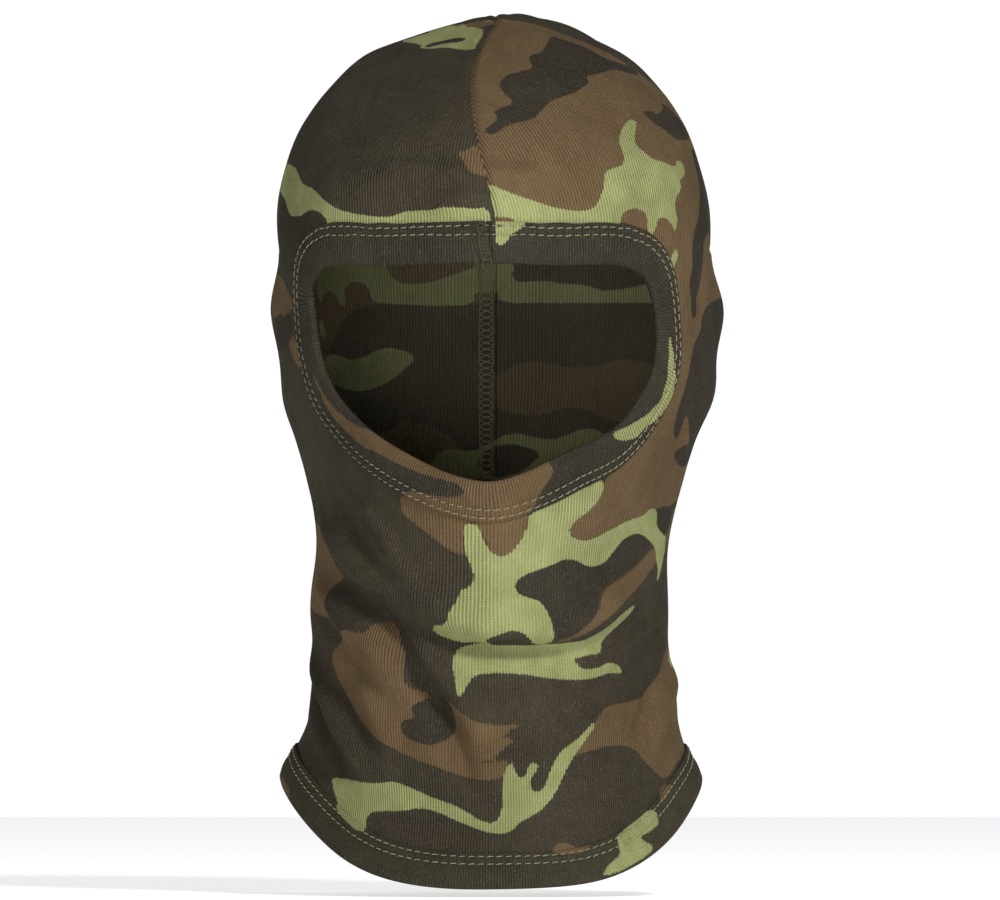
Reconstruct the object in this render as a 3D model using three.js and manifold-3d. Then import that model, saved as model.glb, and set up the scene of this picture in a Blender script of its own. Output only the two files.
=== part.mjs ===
// A knitted one-hole face mask in the shape it takes on a head: a cloth body closed by four overlocked
// seams that meet at the crown, a folded band round the face opening, a folded band round the hem, and
// the threads that hold them. Millimetres, +Z up; the face looks along -Y and +X is on the right of
// someone who looks at it. Heights are measured up from the front of the hem. The finished mask is then
// lowered, so that the origin is where the inside of the crown rests on the head.

import * as THREE from "three";
import { mergeVertices } from "three/addons/utils/BufferGeometryUtils.js";
import Module from "manifold-3d";

// ---------------------------------------------------------------- sizes

// the head that fills the mask
const crownHeight = 323; // from the front of the hem to the top of the crown
const headWidth = 158; // over the temples
const headLength = 195; // from forehead to the back of the head
const domeRoundness = 2.12; // 2 is an ellipse, more is squarer
const earBulge = 5; // how far an ear pushes the cloth out
const earSpread = 15; // how far up and down that push is felt

// the cloth and its bands
const cloth = 1.0; // thickness of one layer of the knit
const faceBandWidth = 15.6;
const hemBandWidth = 14.2;
const bandTuck = 6.2; // how much of the body's raw edge is caught inside a band
const tuckGap = 1.5; // clearance between that raw edge and the bottom of the band's slot
const bandGap = 0.75; // clearance between each layer of a band and the body cloth between them

// the face opening, measured between the band's folded edges
const openingWidth = 151; // over the cloth, round the face
const openingHeight = 80;
const openingBottom = 150; // height of its lowest point
const openingOffset = -8; // it sits a little to one side, over the cloth

// the hem, which rides up over the shoulders and turns outwards
const hemRiseSide = 32;
const hemRiseBack = 26;
const hemFlare = 8;
const flareHeight = 24;

// stitching and seams
const needleThread = 0.7; // thread diameter, as it lies on the cloth
const loopedThread = 0.5; // thickness of a looper thread's lacing
const outerRow = 1.7; // first row of stitches, from the band's open edge
const rowSpacing = 3.1; // between the two rows
const threadGap = 0.35; // clearance that keeps touching pieces apart
const threadEnds = 1.5; // space between the start and the end of a row
const seamAllowance = 6; // width of the two cloth edges that are sewn together and turned aside
const seamFold = 1.2; // width of the fold where they leave the cloth
const seamGap = 0.7; // clearance between the turned edges and the cloth they lie on
const crossingForward = 22; // the seams cross this far in front of the highest point
const seamMeeting = 9; // the four seams' turned edges stop this far from the crossing
const seamDrift = 9; // how far the front seam wanders to one side
const sideSeamLength = 92; // from the crossing down each side
const seamEndGap = 2; // clearance between the end of a seam and a band
const joinWidth = 4; // the sewn ends where a band is joined into a ring
const tailLength = 5.4; // the knot of chain stitch left at the face band's join
const tailWidth = 3.4;

// how finely the curves are cut into flats
const frontColumns = 30;
const backColumns = 16;
const neckRow = 14; // height of a row of flats on the neck
const faceRow = 7.5; // on the face
const domeRow = 13; // on the dome of the skull
const faceSteps = 64;
const seamStep = 11;
const stride = 2; // when a distance is walked over the curved cloth
const fewestStrides = 8;
const searchSteps = 30; // when the place of a point is looked for
const sameVertex = 1e-4; // corners closer than this are one
const nearCrown = 0.05; // closer to the crossing than this, the cloth's slope no longer changes

// ---------------------------------------------------------------- the head form

// Shares of crownHeight, headWidth / 2 and headLength / 2 (front, then back), and the roundness of the
// front half of the section. The last line is the temples, where the dome of the skull begins.
const headForm = [
  { height: 0.0, side: 0.862, front: 0.796, back: 0.796, round: 2.1 }, // hem
  { height: 0.124, side: 0.865, front: 0.776, back: 0.765, round: 2.1 }, // base of the neck
  { height: 0.192, side: 0.858, front: 0.796, back: 0.714, round: 2.1 },
  { height: 0.235, side: 0.84, front: 0.857, back: 0.694, round: 2.0 },
  { height: 0.272, side: 0.828, front: 0.939, back: 0.684, round: 2.0 }, // under the chin
  { height: 0.31, side: 0.83, front: 0.995, back: 0.694, round: 1.9 }, // chin
  { height: 0.378, side: 0.816, front: 1.031, back: 0.745, round: 1.8 }, // mouth
  { height: 0.433, side: 0.838, front: 1.085, back: 0.816, round: 1.75 },
  { height: 0.471, side: 0.878, front: 1.118, back: 0.867, round: 1.7 }, // under the nose
  { height: 0.508, side: 0.928, front: 1.095, back: 0.908, round: 1.75 },
  { height: 0.563, side: 0.996, front: 1.01, back: 0.959, round: 1.95 }, // cheekbones
  { height: 0.65, side: 1.0, front: 0.959, back: 0.995, round: 2.2 }, // ears
  { height: 0.728, side: 1.0, front: 0.934, back: 1.0, round: 2.3 }, // temples
];
const backRoundness = 2.2;
const earShare = 0.656; // height of the middle of the ear, as a share of crownHeight
const earAngle = THREE.MathUtils.degToRad(96);
const earHalfAngle = THREE.MathUtils.degToRad(11);

const quarterTurn = Math.PI / 2;
const templeHeight = headForm.at(-1).height * crownHeight;
const domeHeight = crownHeight - cloth / 2 - templeHeight;
const domeLength = (quarterTurn * (domeHeight + headLength / 2)) / 2; // over the dome, temple to crown
const crownAt = templeHeight + domeLength; // where the meridians meet

// A value of the head form at a height, on one smooth curve through its lines.
function formAt(height, key) {
  const share = THREE.MathUtils.clamp(height / crownHeight, 0, headForm.at(-1).height);
  const last = headForm.length - 1;
  let i = 0;
  while (i < last - 1 && headForm[i + 1].height < share) i++;
  const slope = (k) => {
    if (k === 0 || k === last) return 0;
    const [below, above] = [headForm[k - 1], headForm[k + 1]];
    return (above[key] - below[key]) / (above.height - below.height);
  };
  const [low, high] = [headForm[i], headForm[i + 1]];
  const span = high.height - low.height;
  const t = (share - low.height) / span;
  const u = 1 - t;
  const values = low[key] * u * u * (1 + 2 * t) + high[key] * t * t * (1 + 2 * u);
  return values + span * t * u * (slope(i) * u - slope(i + 1) * t);
}

// The hem's height all the way round: angle 0 is the front, a quarter turn is +X.
function hemHeight(angle) {
  const towardsBack = (1 - Math.cos(angle)) / 2;
  return hemRiseSide * Math.abs(Math.sin(angle)) ** 3 + hemRiseBack * towardsBack ** 2;
}

// The distance from the axis to the cloth, by angle, on the head's section at a height.
function sectionRadius(angle, height) {
  const front = Math.cos(angle) > 0;
  const side = (formAt(height, "side") * headWidth) / 2;
  const reach = (formAt(height, front ? "front" : "back") * headLength) / 2;
  const round = front ? formAt(height, "round") : backRoundness;
  const across = Math.abs(Math.sin(angle)) / side;
  const along = Math.abs(Math.cos(angle)) / reach;
  return (across ** round + along ** round) ** (-1 / round);
}

// A place on the cloth is an angle round the head and a distance up the meridian. This is its point
// on the middle of the cloth's thickness. The meridians meet where the seams cross.
function clothPoint(place) {
  return place.up < templeHeight ? wallPoint(place) : domePoint(place);
}

function wallPoint({ angle, up }) {
  const earUp = (up - earShare * crownHeight) / earSpread;
  const earRound = (Math.abs(Math.atan2(Math.sin(angle), Math.cos(angle))) - earAngle) / earHalfAngle;
  const flare = Math.max(0, 1 - (up - hemHeight(angle)) / flareHeight) ** 1.5;
  const bulge = earBulge * Math.exp(-(earUp ** 2) - earRound ** 2);
  const radius = sectionRadius(angle, up) + bulge + hemFlare * flare;
  return new THREE.Vector3(radius * Math.sin(angle), -radius * Math.cos(angle), up);
}

function domePoint({ angle, up }) {
  const turn = (quarterTurn * Math.min(up - templeHeight, domeLength)) / domeLength;
  const shrink = Math.max(Math.cos(turn), 0) ** (2 / domeRoundness);
  const radius = shrink * sectionRadius(angle, templeHeight);
  const x = radius * Math.sin(angle);
  const y = -radius * Math.cos(angle) - crossingForward * (1 - shrink) ** 1.5;
  const inwards = Math.hypot(x, y) / sectionRadius(Math.atan2(x, -y), templeHeight);
  const level = Math.max(0, 1 - inwards ** domeRoundness) ** (1 / domeRoundness);
  return new THREE.Vector3(x, y, templeHeight + domeHeight * level);
}

// The two directions of the cloth at a place, per radian round the head and per millimetre up.
function clothSlopes({ angle, up }) {
  const [turn, rise] = [0.01, 0.1];
  const top = Math.min(up + rise, crownAt);
  const round = clothPoint({ angle: angle + turn, up }).sub(clothPoint({ angle: angle - turn, up }));
  const climb = clothPoint({ angle, up: top }).sub(clothPoint({ angle, up: up - rise }));
  return { round: round.divideScalar(2 * turn), climb: climb.divideScalar(top - up + rise) };
}

function clothNormal(place) {
  const up = Math.min(place.up, crownAt - nearCrown);
  const { round, climb } = clothSlopes({ angle: place.angle, up });
  return round.cross(climb).normalize();
}

// The point that lies a distance off the middle of the cloth, outwards when it is positive.
function offCloth(place, off) {
  return clothPoint(place).addScaledVector(clothNormal(place), off);
}

// The place reached by walking over the cloth in a direction.
function walk(place, direction, distance) {
  const strides = Math.max(1, Math.ceil(Math.abs(distance) / stride));
  let { angle, up } = place;
  for (let k = 0; k < strides; k++) {
    const { round, climb } = clothSlopes({ angle, up });
    const [rr, rc, cc] = [round.dot(round), round.dot(climb), climb.dot(climb)];
    const [dr, dc] = [direction.dot(round), direction.dot(climb)];
    const step = distance / strides / (rr * cc - rc * rc);
    angle += step * (dr * cc - dc * rc);
    up += step * (dc * rr - dr * rc);
  }
  return { angle, up };
}

// ---------------------------------------------------------------- paths over the cloth

// One frame for each place on a path: at(out, off) is the point out millimetres to the side of the
// path, walked over the cloth, and off millimetres above the middle of the cloth.
function framesAlong(places, closed) {
  const count = places.length;
  const points = places.map(clothPoint);
  return places.map((place, i) => {
    const before = points[closed ? (i + count - 1) % count : Math.max(i - 1, 0)];
    const after = points[closed ? (i + 1) % count : Math.min(i + 1, count - 1)];
    const beside = clothNormal(place).cross(after.clone().sub(before)).normalize();
    return (out, off) => offCloth(walk(place, beside, out), off);
  });
}

// The folded edge of the face band, clockwise from the middle of the top as someone who looks at the
// face sees it: shares of the opening's width, round the face, and of its height.
const openingOutline = [
  [0.04, 1.0], [0.193, 0.99], [0.379, 0.985], [0.455, 0.92], [0.5, 0.74], [0.487, 0.49],
  [0.405, 0.262], [0.249, 0.14], [0.122, 0.038], [0.044, 0.0], [-0.046, 0.025], [-0.178, 0.115],
  [-0.339, 0.268], [-0.444, 0.46], [-0.489, 0.69], [-0.5, 0.87], [-0.42, 0.982], [-0.224, 0.99],
];

// The place at a height, a distance round the cloth from the middle of the front.
function placeRound(distance, height) {
  const strides = Math.max(fewestStrides, Math.ceil(Math.abs(distance) / stride));
  let [angle, up] = [0, height];
  for (let k = 0; k < strides; k++) {
    angle += distance / strides / clothSlopes({ angle, up }).round.length();
    up += height - clothPoint({ angle, up }).z;
  }
  return { angle, up };
}

// The place on the cloth at a point's height, in the same direction from the axis.
function placeOf(point) {
  const direction = ({ x, y }) => Math.atan2(x, -y);
  let [angle, up] = [direction(point), point.z];
  for (let k = 0; k < searchSteps; k++) {
    const now = clothPoint({ angle, up });
    angle += direction(point) - direction(now);
    up += (point.z - now.z) / 2;
  }
  return { angle, up };
}

function openingPlaces() {
  const drawn = openingOutline.map(([across, above]) =>
    clothPoint(placeRound(openingOffset + across * openingWidth, openingBottom + above * openingHeight)),
  );
  const edge = new THREE.CatmullRomCurve3(drawn, true, "centripetal");
  return edge.getSpacedPoints(faceSteps).slice(0, faceSteps).map(placeOf);
}

// Column angles from the middle of the back, once round; the columns are closer at the front.
function columnAngles() {
  const back = Array.from({ length: backColumns }, (_, i) => quarterTurn + (Math.PI * i) / backColumns);
  const front = Array.from({ length: frontColumns }, (_, i) => -quarterTurn + (Math.PI * i) / frontColumns);
  const middle = backColumns / 2;
  return [...back.slice(middle).map((angle) => angle - 2 * Math.PI), ...front, ...back.slice(0, middle)];
}

const openingFrames = framesAlong(openingPlaces(), true);
const hemFrames = framesAlong(
  columnAngles().map((angle) => ({ angle, up: hemHeight(angle) })),
  true,
);

// ---------------------------------------------------------------- solids

function meshGeometry(points, triangles) {
  const geometry = new THREE.BufferGeometry();
  geometry.setAttribute("position", new THREE.Float32BufferAttribute(points.flatMap((p) => [...p]), 3));
  geometry.setIndex(triangles);
  return geometry;
}

// Triangles between neighbouring rings of points that all have the same length.
function bandOfTriangles(rings, size, closed) {
  const triangles = [];
  for (let i = 0; i < rings - (closed ? 0 : 1); i++) {
    for (let k = 0; k < size; k++) {
      const [here, next] = [i * size, ((i + 1) % rings) * size];
      const other = (k + 1) % size;
      triangles.push(here + k, next + k, here + other, here + other, next + k, next + other);
    }
  }
  return triangles;
}

// A section, drawn as [out, off] pairs clockwise, carried along the frames of a path.
function sweep(section, frames, closed) {
  const points = frames.flatMap((at) => section.map(([out, off]) => at(out, off)));
  const triangles = bandOfTriangles(frames.length, section.length, closed);
  if (!closed) {
    const outline = section.map(([out, off]) => new THREE.Vector2(out, off));
    const end = points.length - section.length;
    for (const [a, b, c] of THREE.ShapeUtils.triangulateShape(outline, [])) {
      triangles.push(c, b, a, end + a, end + b, end + c);
    }
  }
  return facingOut(meshGeometry(points, triangles));
}

// The same geometry with its faces turned outwards if they point in.
function facingOut(geometry) {
  const [position, index] = [geometry.attributes.position, geometry.index.array];
  const corner = (k) => new THREE.Vector3().fromBufferAttribute(position, index[k]);
  let volume = 0;
  for (let k = 0; k < index.length; k += 3) volume += corner(k).dot(corner(k + 1).cross(corner(k + 2)));
  if (volume < 0) geometry.setIndex([...index].reverse());
  return geometry;
}

const wasm = await Module();
wasm.setup();

function toSolid(geometry) {
  const bare = geometry.clone();
  for (const name of Object.keys(bare.attributes)) {
    if (name !== "position") bare.deleteAttribute(name);
  }
  const merged = mergeVertices(bare, sameVertex);
  const vertProperties = new Float32Array(merged.attributes.position.array);
  const triVerts = new Uint32Array(merged.index.array);
  return new wasm.Manifold(new wasm.Mesh({ numProp: 3, vertProperties, triVerts }));
}

function toGeometry(solid) {
  const { vertProperties, triVerts } = solid.getMesh();
  const geometry = new THREE.BufferGeometry();
  geometry.setAttribute("position", new THREE.BufferAttribute(vertProperties, 3));
  geometry.setIndex(new THREE.BufferAttribute(triVerts, 1));
  return geometry;
}

// ---------------------------------------------------------------- the cloth body

// Distances up the meridian of the body's rows: hem, neck, face and dome, each evenly divided.
function rowsAbove(hem) {
  const faceStart = openingBottom - 2 * faceBandWidth;
  const stops = [
    { from: hem, to: faceStart, row: neckRow },
    { from: faceStart, to: templeHeight, row: faceRow },
    { from: templeHeight, to: crownAt, row: domeRow },
  ];
  return stops.flatMap(({ from, to, row }, i) => {
    const count = Math.round((to - (i === 0 ? 0 : from)) / row);
    return Array.from({ length: count }, (_, k) => from + ((to - from) * k) / count);
  });
}

// The whole cloth shell, open at the hem: each column goes up the outside and down the inside.
function clothShell() {
  const angles = columnAngles();
  const edge = (angle) => hemHeight(angle) + hemBandWidth - bandTuck;
  const columns = angles.map((angle) => rowsAbove(edge(angle)).map((up) => ({ angle, up })));
  const outside = columns.flatMap((column) => column.map((place) => offCloth(place, cloth / 2)));
  const inside = columns.flatMap((column) => column.map((place) => offCloth(place, -cloth / 2)));
  const crown = { angle: 0, up: crownAt };
  const points = [...outside, ...inside, offCloth(crown, cloth / 2), offCloth(crown, -cloth / 2)];
  const [rows, count] = [columns[0].length, angles.length];
  const [outerCrown, innerCrown] = [points.length - 2, points.length - 1];
  const triangles = [];
  for (let i = 0; i < count; i++) {
    const [a, b] = [i * rows, ((i + 1) % count) * rows];
    const [c, d] = [a + outside.length, b + outside.length];
    for (let j = 0; j < rows - 1; j++) {
      triangles.push(a + j, b + j, b + j + 1, a + j, b + j + 1, a + j + 1);
      triangles.push(c + j, d + j + 1, d + j, c + j, c + j + 1, d + j + 1);
    }
    triangles.push(a + rows - 1, b + rows - 1, outerCrown, c + rows - 1, innerCrown, d + rows - 1);
    triangles.push(a, c, b, b, c, d);
  }
  return facingOut(meshGeometry(points, triangles));
}

// A plug that takes away the cloth inside the raw edge of the face opening.
function openingPlug() {
  const rawEdge = faceBandWidth - bandTuck;
  const reach = 8; // past both faces of the cloth
  const outer = openingFrames.map((at) => at(rawEdge, reach));
  const inner = openingFrames.map((at) => at(rawEdge, -reach));
  const height = openingBottom + openingHeight / 2;
  const before = new THREE.Vector3(openingOffset, -headLength, height);
  const behind = new THREE.Vector3(openingOffset, 0, height);
  const points = [...outer, ...inner, before, behind];
  const count = outer.length;
  const triangles = [];
  for (let i = 0; i < count; i++) {
    const next = (i + 1) % count;
    triangles.push(i, next, count + i, next, count + next, count + i);
    triangles.push(i, 2 * count, next, count + i, count + next, 2 * count + 1);
  }
  return facingOut(meshGeometry(points, triangles));
}

// ---------------------------------------------------------------- seams

const alongMeridian = (angle, from, to) => {
  const count = Math.round(Math.abs(to - from) / seamStep);
  return Array.from({ length: count + 1 }, (_, k) => ({ angle, up: from + ((to - from) * k) / count }));
};

// The front seam leaves the crown, wanders to one side and comes back to the middle at the face band.
function frontSeamPlaces() {
  const top = crownAt - seamMeeting;
  const bandFold = placeRound(0, openingBottom + openingHeight);
  const bottom = bandFold.up + faceBandWidth + seamEndGap;
  return alongMeridian(0, top, bottom).map((place) => {
    const share = (top - place.up) / (top - bottom);
    return walk(place, new THREE.Vector3(-1, 0, 0), seamDrift * Math.sin(Math.PI * share));
  });
}

const backHem = hemHeight(Math.PI) + hemBandWidth + seamEndGap;
const seams = {
  front_crown: frontSeamPlaces(),
  back: alongMeridian(Math.PI, crownAt - seamMeeting, backHem),
  left_crown: alongMeridian(-quarterTurn, crownAt - seamMeeting, crownAt - sideSeamLength),
  right_crown: alongMeridian(quarterTurn, crownAt - seamMeeting, crownAt - sideSeamLength),
};

const turnedTop = -(cloth / 2 + seamGap);
const turnedBottom = turnedTop - 2 * cloth;
const turnedEdges = [
  [0, 0],
  [seamFold, 0],
  [seamFold, turnedTop],
  [seamAllowance, turnedTop],
  [seamAllowance, turnedBottom],
  [0, turnedBottom],
];

// A flat ribbon of thread: from and to are its sides, top is its upper face and it is one lacing thick.
const ribbon = (from, to, top) => [
  [from, top],
  [to, top],
  [to, top - loopedThread],
  [from, top - loopedThread],
];
const overlockLacing = ribbon(seamFold, seamAllowance + loopedThread, turnedBottom - threadGap);

function bodyPanel() {
  let body = toSolid(clothShell()).subtract(toSolid(openingPlug()));
  for (const places of Object.values(seams)) {
    body = body.add(toSolid(sweep(turnedEdges, framesAlong(places, false), false)));
  }
  return toGeometry(body);
}

// ---------------------------------------------------------------- bands and their stitching

const slotHalf = cloth / 2 + bandGap;
const bandHalf = slotHalf + cloth;

// A band folded over the body's raw edge: a rounded fold at out = 0 and a slot open at the full width.
function foldedBand(width) {
  const slotEnd = width - bandTuck - tuckGap;
  const slotMiddle = (width + slotEnd) / 2;
  const middle = (width + bandHalf) / 2;
  const noseOut = bandHalf * (1 - Math.SQRT1_2);
  const noseOff = bandHalf * Math.SQRT1_2;
  const upper = [[width, bandHalf], [middle, bandHalf], [bandHalf, bandHalf], [noseOut, noseOff]];
  const slot = [[width, slotHalf], [slotMiddle, slotHalf], [slotEnd, slotHalf]];
  const mirrored = (side) => side.map(([out, off]) => [out, -off]).reverse();
  return [...upper, [0, 0], ...mirrored(upper), ...mirrored(slot).reverse(), ...slot.reverse()];
}

// One row of stitches on the outside of a band, as the thread that runs round it.
function needleRow(frames, out) {
  const off = bandHalf + threadGap + needleThread / 2;
  const loop = new THREE.CatmullRomCurve3(frames.map((at) => at(out, off)), true, "centripetal");
  const start = threadEnds / 2 / loop.getLength();
  const run = loop.getSpacedPoints(frames.length * 2);
  run[0] = loop.getPointAt(start);
  run[run.length - 1] = loop.getPointAt(1 - start);
  const round = new THREE.Shape().absarc(0, 0, needleThread / 2, 0, 2 * Math.PI);
  const extrudePath = new THREE.CatmullRomCurve3(run, false, "centripetal");
  return new THREE.ExtrudeGeometry(round, { steps: frames.length, curveSegments: 2, extrudePath });
}

const looperLacing = (width) => {
  const [near, far] = [width - outerRow - rowSpacing - needleThread, width - outerRow + needleThread];
  return ribbon(near, far, -bandHalf - threadGap);
};

// The sewn ends of a band, turned flat against its inside, clear of the looper thread.
function bandJoin(frames, width) {
  const off = -bandHalf - threadGap;
  const along = frames[1](0, 0).sub(frames.at(-1)(0, 0)).normalize();
  const far = width - outerRow - rowSpacing - needleThread - threadGap;
  const near = bandHalf;
  const [middle, half] = [(near + far) / 2, joinWidth / 2];
  const corners = [[-half, 0], [half, 0], [half, loopedThread], [-half, loopedThread]];
  const ring = (out) =>
    corners.map(([side, depth]) => frames[0](out, off - depth).addScaledVector(along, side));
  const points = [near, middle, far].flatMap(ring);
  const triangles = bandOfTriangles(3, 4, false);
  const end = points.length - 4;
  triangles.push(0, 1, 2, 0, 2, 3, end + 2, end + 1, end, end + 3, end + 2, end);
  return facingOut(meshGeometry(points, triangles));
}

// The knotted end of the joining thread, hanging from the fold of the face band.
function threadTail() {
  const knot = new THREE.SphereGeometry(0.5, 10, 8);
  knot.scale(tailWidth, tailWidth, tailLength);
  const fold = openingFrames[0](0, 0);
  knot.translate(fold.x, fold.y, fold.z - threadGap - tailLength / 2);
  return knot;
}

// ---------------------------------------------------------------- the mask

const camoCloth = { color: 0x6f6a46, roughness: 0.95, metalness: 0 };
const darkRib = { color: 0x423c31, roughness: 0.95, metalness: 0 };
const khakiThread = { color: 0x8a8460, roughness: 0.8, metalness: 0 };

const mask = new THREE.Group();
mask.position.z = -(crownHeight - cloth);

function addPart(name, geometry, look) {
  const part = new THREE.Mesh(geometry, new THREE.MeshStandardMaterial(look));
  part.name = name;
  mask.add(part);
}

addPart("body_panel", bodyPanel(), camoCloth);

const bands = [
  { name: "face_band", frames: openingFrames, width: faceBandWidth },
  { name: "hem_band", frames: hemFrames, width: hemBandWidth },
];
for (const { name, frames, width } of bands) {
  addPart(name, sweep(foldedBand(width), frames, true), darkRib);
  addPart(`${name}_needle_thread_outer`, needleRow(frames, width - outerRow), khakiThread);
  addPart(`${name}_needle_thread_inner`, needleRow(frames, width - outerRow - rowSpacing), khakiThread);
  addPart(`${name}_looper_thread`, sweep(looperLacing(width), frames, true), khakiThread);
  addPart(`${name}_join_overlock`, bandJoin(frames, width), khakiThread);
}

for (const [name, places] of Object.entries(seams)) {
  const lacing = sweep(overlockLacing, framesAlong(places, false), false);
  addPart(`${name}_seam_overlock`, lacing, khakiThread);
}
addPart("seam_thread_tail", threadTail(), khakiThread);

export default mask;
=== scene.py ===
# %% [markdown]
# # A knitted face mask in a woodland pattern
#
# The mask is one tube of fine rib knit, cut into four gores at the top and closed by overlocked seams
# that cross on the crown. A folded band of the same cloth goes round the face opening and another round
# the hem, each held by two rows of stitches with a lacing behind them. It is shown in the shape it takes
# on a head, with the head left out.
#
# The frame is the plain model that fixes every size and place. We load it first, keep its box, and then
# replace each plain cloth solid by a finished piece that lies where the plain one lies.

# %% Load the frame
import math

import bpy
import numpy as np
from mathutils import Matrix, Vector


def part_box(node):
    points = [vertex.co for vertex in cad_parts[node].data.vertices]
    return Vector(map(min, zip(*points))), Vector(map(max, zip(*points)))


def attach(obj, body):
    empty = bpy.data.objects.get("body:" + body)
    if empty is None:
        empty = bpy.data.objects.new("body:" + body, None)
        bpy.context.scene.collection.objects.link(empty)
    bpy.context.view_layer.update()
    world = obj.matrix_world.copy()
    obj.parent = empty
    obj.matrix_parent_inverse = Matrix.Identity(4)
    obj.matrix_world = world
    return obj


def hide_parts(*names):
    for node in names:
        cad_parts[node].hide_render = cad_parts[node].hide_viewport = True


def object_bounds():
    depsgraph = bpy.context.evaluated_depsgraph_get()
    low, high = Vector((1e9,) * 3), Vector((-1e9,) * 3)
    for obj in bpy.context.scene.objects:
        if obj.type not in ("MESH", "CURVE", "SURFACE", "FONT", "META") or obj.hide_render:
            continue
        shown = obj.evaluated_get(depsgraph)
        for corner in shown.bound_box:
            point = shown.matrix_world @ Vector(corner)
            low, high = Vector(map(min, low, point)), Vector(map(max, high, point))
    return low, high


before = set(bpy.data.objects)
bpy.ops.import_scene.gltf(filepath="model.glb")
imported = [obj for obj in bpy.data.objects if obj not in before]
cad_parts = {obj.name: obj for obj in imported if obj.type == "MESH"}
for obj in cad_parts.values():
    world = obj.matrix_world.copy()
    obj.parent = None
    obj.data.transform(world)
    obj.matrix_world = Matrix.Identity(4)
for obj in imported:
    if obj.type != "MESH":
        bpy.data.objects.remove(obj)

frame_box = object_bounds()
MM = 0.001

# %% [markdown]
# ## The sizes of the cut
#
# These are the sizes that a maker would write on the pattern, in millimetres. Heights are measured up
# from the front of the hem, which is easier to think about than depths below the crown, and turned into
# the frame's own heights at the very end.

# %% Sizes in millimetres
CROWN_HEIGHT = 323.0
HEAD_WIDTH = 158.0
HEAD_LENGTH = 195.0
DOME_ROUNDNESS = 2.12
EAR_BULGE = 5.0
EAR_SPREAD = 15.0
EAR_SHARE = 0.656
EAR_ANGLE = math.radians(96)
EAR_HALF_ANGLE = math.radians(11)
BACK_ROUNDNESS = 2.2
CROSSING_FORWARD = 22.0

CLOTH = 1.0
FACE_BAND = 15.6
HEM_BAND = 14.2
TUCK = 6.2
OPENING_WIDTH = 151.0
OPENING_HEIGHT = 80.0
OPENING_BOTTOM = 150.0
OPENING_OFFSET = -8.0
HEM_RISE_SIDE = 32.0
HEM_RISE_BACK = 26.0
HEM_FLARE = 8.0
FLARE_HEIGHT = 24.0
OUTER_ROW = 1.7
ROW_SPACING = 3.1
STITCH_PITCH = 3.4
SEAM_ALLOWANCE = 6.0
SEAM_DRIFT = 9.0
SIDE_SEAM = 92.0
SEAM_MEETING = 9.0

QUARTER = math.pi / 2
FALL = CROWN_HEIGHT - CLOTH  # from the height scale down to the frame's origin
low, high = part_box("hem_band")[0].z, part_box("body_panel")[1].z
print(f"crown to hem: frame {(high - low) / MM:.1f} mm, pattern {CROWN_HEIGHT:.1f} mm")

# %% [markdown]
# ## The worn shape
#
# A knit takes the shape of the head inside it. Below the temples each level section of the head is a
# rounded oval, and a short table gives its half width and its reach to front and back. Above the temples
# the same oval shrinks up a dome. We write this as one function from a place on the cloth, an angle
# round the head and a distance up, to a point, because then every piece can be cut from the same shape:
# the body as a grid of places, a band as the places beside an edge, a row of stitches as places on it.

# %% The head form
# height as a share of the crown height; half width, front and back as shares of the head's; roundness
HEAD_FORM = np.array([
    (0.000, 0.862, 0.796, 0.796, 2.10),  # hem
    (0.124, 0.865, 0.776, 0.765, 2.10),  # base of the neck
    (0.192, 0.858, 0.796, 0.714, 2.10),
    (0.235, 0.840, 0.857, 0.694, 2.00),
    (0.272, 0.828, 0.939, 0.684, 2.00),  # under the chin
    (0.310, 0.830, 0.995, 0.694, 1.90),  # chin
    (0.378, 0.816, 1.031, 0.745, 1.80),  # mouth
    (0.433, 0.838, 1.085, 0.816, 1.75),
    (0.471, 0.878, 1.118, 0.867, 1.70),  # under the nose
    (0.508, 0.928, 1.095, 0.908, 1.75),
    (0.563, 0.996, 1.010, 0.959, 1.95),  # cheekbones
    (0.650, 1.000, 0.959, 0.995, 2.20),  # ears
    (0.728, 1.000, 0.934, 1.000, 2.30),  # temples
])
SIDE, FRONT, BACK, ROUND = 1, 2, 3, 4
TEMPLE = HEAD_FORM[-1, 0] * CROWN_HEIGHT
DOME_HEIGHT = CROWN_HEIGHT - CLOTH / 2 - TEMPLE
DOME_LENGTH = QUARTER * (DOME_HEIGHT + HEAD_LENGTH / 2) / 2
CROWN_AT = TEMPLE + DOME_LENGTH  # where the seams cross


def form_at(height, column):
    """A column of the head form at some heights, on one smooth curve through its lines."""
    shares, values = HEAD_FORM[:, 0], HEAD_FORM[:, column]
    slopes = np.zeros(len(values))
    slopes[1:-1] = (values[2:] - values[:-2]) / (shares[2:] - shares[:-2])
    share = np.clip(height / CROWN_HEIGHT, 0, shares[-1])
    i = np.clip(np.searchsorted(shares, share, side="right") - 1, 0, len(shares) - 2)
    span = shares[i + 1] - shares[i]
    t = (share - shares[i]) / span
    u = 1 - t
    eased = values[i] * u * u * (1 + 2 * t) + values[i + 1] * t * t * (1 + 2 * u)
    return eased + span * t * u * (slopes[i] * u - slopes[i + 1] * t)


def section_radius(angle, height):
    """Distance from the axis to the cloth on the head's section at a height."""
    front = np.cos(angle) > 0
    side = form_at(height, SIDE) * HEAD_WIDTH / 2
    reach = np.where(front, form_at(height, FRONT), form_at(height, BACK)) * HEAD_LENGTH / 2
    roundness = np.where(front, form_at(height, ROUND), BACK_ROUNDNESS)
    across = np.abs(np.sin(angle)) / side
    along = np.abs(np.cos(angle)) / reach
    return (across ** roundness + along ** roundness) ** (-1 / roundness)


def hem_height(angle):
    towards_back = (1 - np.cos(angle)) / 2
    return HEM_RISE_SIDE * np.abs(np.sin(angle)) ** 3 + HEM_RISE_BACK * towards_back ** 2


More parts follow.
